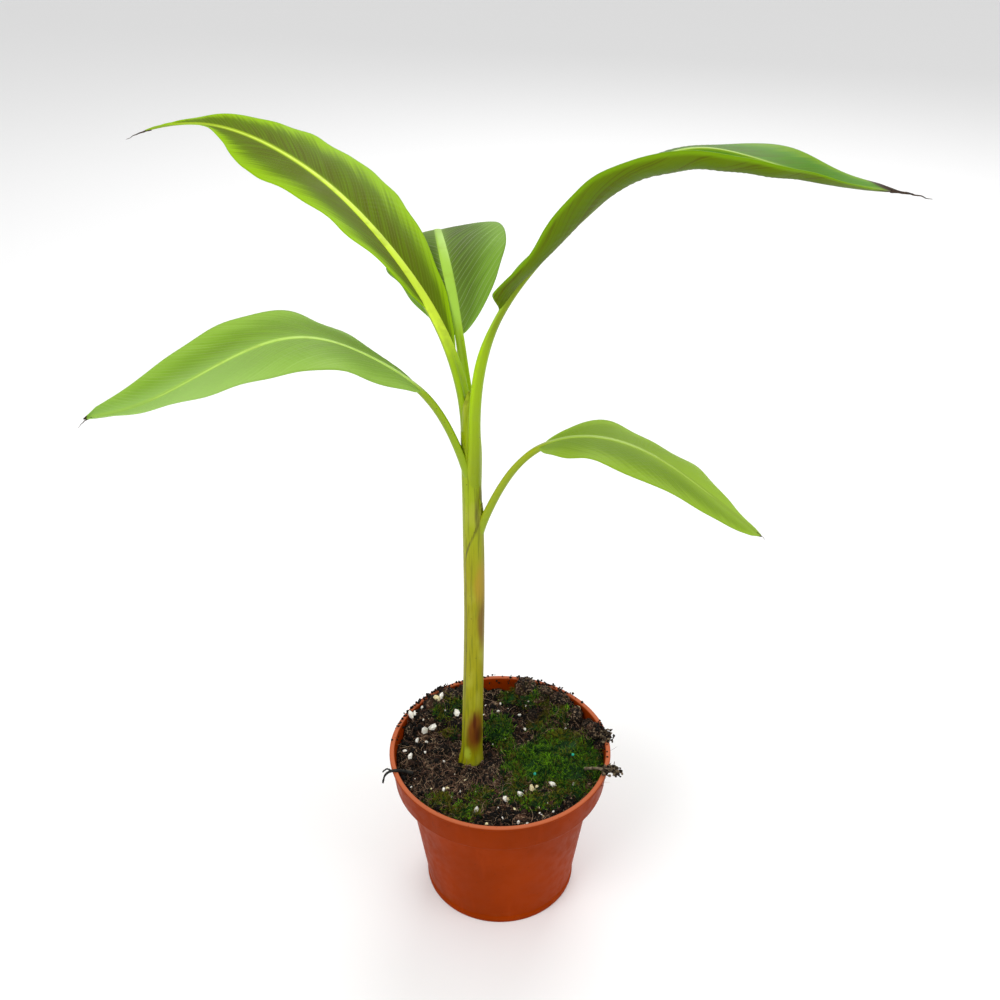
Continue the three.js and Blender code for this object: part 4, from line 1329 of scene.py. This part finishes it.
class BANANA_OT_blades(Operator):
    """The blades: each a thin pleated sheet of its own outline, given its thickness by Solidify."""
    bl_idname = "banana.blades"
    bl_label = "Blades"

    def execute(self, context):
        leaves = context.scene.banana_leaves
        for seed, name in enumerate(LEAF_NAMES):
            points, quads, maps = blade_surface(name, leaves, 200 + 20 * seed)
            finishes = [blade_finish(name, LOOKS[name], leaves, upper) for upper in (True, False)]
            piece = build(f"blade_{name}", points, quads, finishes=finishes, maps=maps)
            solid = piece.modifiers.new("thickness", "SOLIDIFY")
            solid.thickness, solid.offset, solid.material_offset = leaves.thickness, 0, 1
            seat(piece, "leaf", f"leaf_{name}_base", f"leaf_{name}_tip")
        return {"FINISHED"}


# Withered threads at the tips, mm: length, drop at the end, sideways bend, and radius where each starts.
THREADS = {"lower_right": (1.5, 0.5, 0.5, 0.3), "lower_left": (3, 4, -1, 0.35),
           "upper_right": (14, 1, -3, 0.7), "upper_left": (18, 2, 0, 0.55), "centre": (6, 4, 1, 0.5)}
THREAD_ROOT = 3  # mm of each thread that lie inside the blade's tip


class BANANA_OT_threads(Operator):
    """The withered threads at the tips of the blades: each sets out along the midrib and droops."""
    bl_idname = "banana.threads"
    bl_label = "Withered tips"

    def execute(self, context):
        s = np.linspace(0, 1, 26)[:, None]
        made = []
        for seed, name in enumerate(LEAF_NAMES):
            length, drop, bend, radius = THREADS[name]
            start, along, side, _ = (rows[0] for rows in midrib(LEAVES[name], np.array([0.985])))
            path = along * s * (length + THREAD_ROOT) + side * bend * s**2 - np.array([0, 0, drop]) * s**2.2
            sway = 0.25 * MM * s * np.stack([drift(s, 0.35, 300 + seed * 3 + k) for k in range(3)], axis=1)
            radii = radius * (1 - 0.85 * s[:, 0]) * MM
            made.append(round_tube(start + path * MM + sway, radii, 8, seed, 0.2))
        dry = plain("withered", tuple(context.scene.banana_leaves.dry), 0.85, tone(38, 30, 26), 500)
        seat(build("withered_tips", *joined(made), [dry]), "leaf")
        return {"FINISHED"}


# ---- stage ----
class StageSettings(PropertyGroup):
    eye: FloatVectorProperty(name="Camera", description="Where the camera stands", size=3,
                             subtype="TRANSLATION", default=(0, -0.501, 0.559))
    tilt: FloatProperty(name="Tilt", description="The camera's turn up from straight down",
                        default=math.radians(58.3), subtype="ANGLE")
    lens: FloatProperty(name="Lens", description="Focal length, mm", default=44.46)
    key: FloatProperty(name="Key light", description="Power of the large light at the front left",
                       default=11.5)
    fill: FloatProperty(name="Fill light", description="Power of the light at the right", default=6.0)
    back: FloatProperty(name="Back light", description="Power of the light behind", default=9.0)
    sky: FloatProperty(name="Surround", description="Strength of the even light all round", default=0.74)


FLOOR_HALF = 6  # half the floor's side, m
LIT_HEIGHT = 0.25  # height of the point that the lights face, m
# The soft lights, m: where each stands, and the side of its square.
LIGHTS = {"key": ((-0.9, -0.9, 1.3), 0.9), "fill": ((1.2, -0.6, 0.9), 1.0), "back": ((0.3, 1.2, 1.2), 1.0)}


def area_light(name, power, place, size):
    """A square light at a place, facing the plant's middle."""
    lamp = bpy.data.lights.new(name, "AREA")
    lamp.energy, lamp.size = power, size
    holder = bpy.data.objects.new(name, lamp)
    x, y, z = np.array([0, 0, LIT_HEIGHT]) - place
    holder.location = place
    holder.rotation_euler = (math.atan2(math.hypot(x, y), -z), 0, math.atan2(y, x) - math.pi / 2)
    bpy.context.scene.collection.objects.link(holder)


class BANANA_OT_stage(Operator):
    """The pale floor, the soft lights and the camera."""
    bl_idname = "banana.stage"
    bl_label = "Stage"

    def execute(self, context):
        stage = context.scene.banana_stage
        corners = np.array([(-1, -1, 0), (1, -1, 0), (1, 1, 0), (-1, 1, 0)]) * FLOOR_HALF
        pale = Finish("pale_floor", roughness=0.8, colour=(0.92, 0.92, 0.92))
        floor = build("floor", corners, np.array([(0, 1, 2, 3)]), finishes=[pale.material])
        world = bpy.data.worlds.new("surround")
        context.scene.world = world
        world.use_nodes = True
        sky = world.node_tree.nodes["Background"]
        sky.inputs["Color"].default_value = (1, 1, 1, 1)
        sky.inputs["Strength"].default_value = stage.sky
        for name, (place, size) in LIGHTS.items():
            area_light(name, getattr(stage, name), place, size)
        camera = bpy.data.cameras.new("camera")
        camera.lens, camera.clip_start = stage.lens, 0.01
        holder = bpy.data.objects.new("camera", camera)
        holder.location, holder.rotation_euler = stage.eye, (stage.tilt, 0, 0)
        context.scene.collection.objects.link(holder)
        context.scene.camera = holder
        context.scene.view_settings.view_transform = "Standard"
        return {"FINISHED"}


# ---- the add-on ----
GROUPS = {"banana_pot": PotSettings, "banana_soil": SoilSettings, "banana_moss": MossSettings,
          "banana_stem": StemSettings, "banana_leaves": LeafSettings, "banana_stage": StageSettings}
STEPS = (BANANA_OT_stage, BANANA_OT_pot, BANANA_OT_soil, BANANA_OT_clods, BANANA_OT_crumbs, BANANA_OT_fibres,
         BANANA_OT_grains, BANANA_OT_bits, BANANA_OT_moss, BANANA_OT_pseudostem, BANANA_OT_petioles,
         BANANA_OT_blades, BANANA_OT_threads)


class VIEW3D_PT_banana(Panel):
    """Lists the steps that build the plant, and the settings of each group of pieces."""
    bl_label = "Banana plant"
    bl_idname = "VIEW3D_PT_banana"
    bl_space_type = "VIEW_3D"
    bl_region_type = "UI"
    bl_category = "Banana plant"

    def draw(self, context):
        for step in STEPS:
            self.layout.operator(step.bl_idname)
        for group in GROUPS:
            box = self.layout.box()
            settings = getattr(context.scene, group)
            for label in settings.__annotations__:
                box.prop(settings, label)


def register():
    for kind in (*GROUPS.values(), *STEPS, VIEW3D_PT_banana):
        bpy.utils.register_class(kind)
    for group, kind in GROUPS.items():
        setattr(bpy.types.Scene, group, PointerProperty(type=kind))


def unregister():
    for group in GROUPS:
        delattr(bpy.types.Scene, group)
    for kind in (VIEW3D_PT_banana, *reversed(STEPS), *reversed(GROUPS.values())):
        bpy.utils.unregister_class(kind)


def main():
    register()
    for step in STEPS:
        getattr(bpy.ops.banana, step.bl_idname.split(".")[1])()
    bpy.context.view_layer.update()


if __name__ == "__main__":
    main()
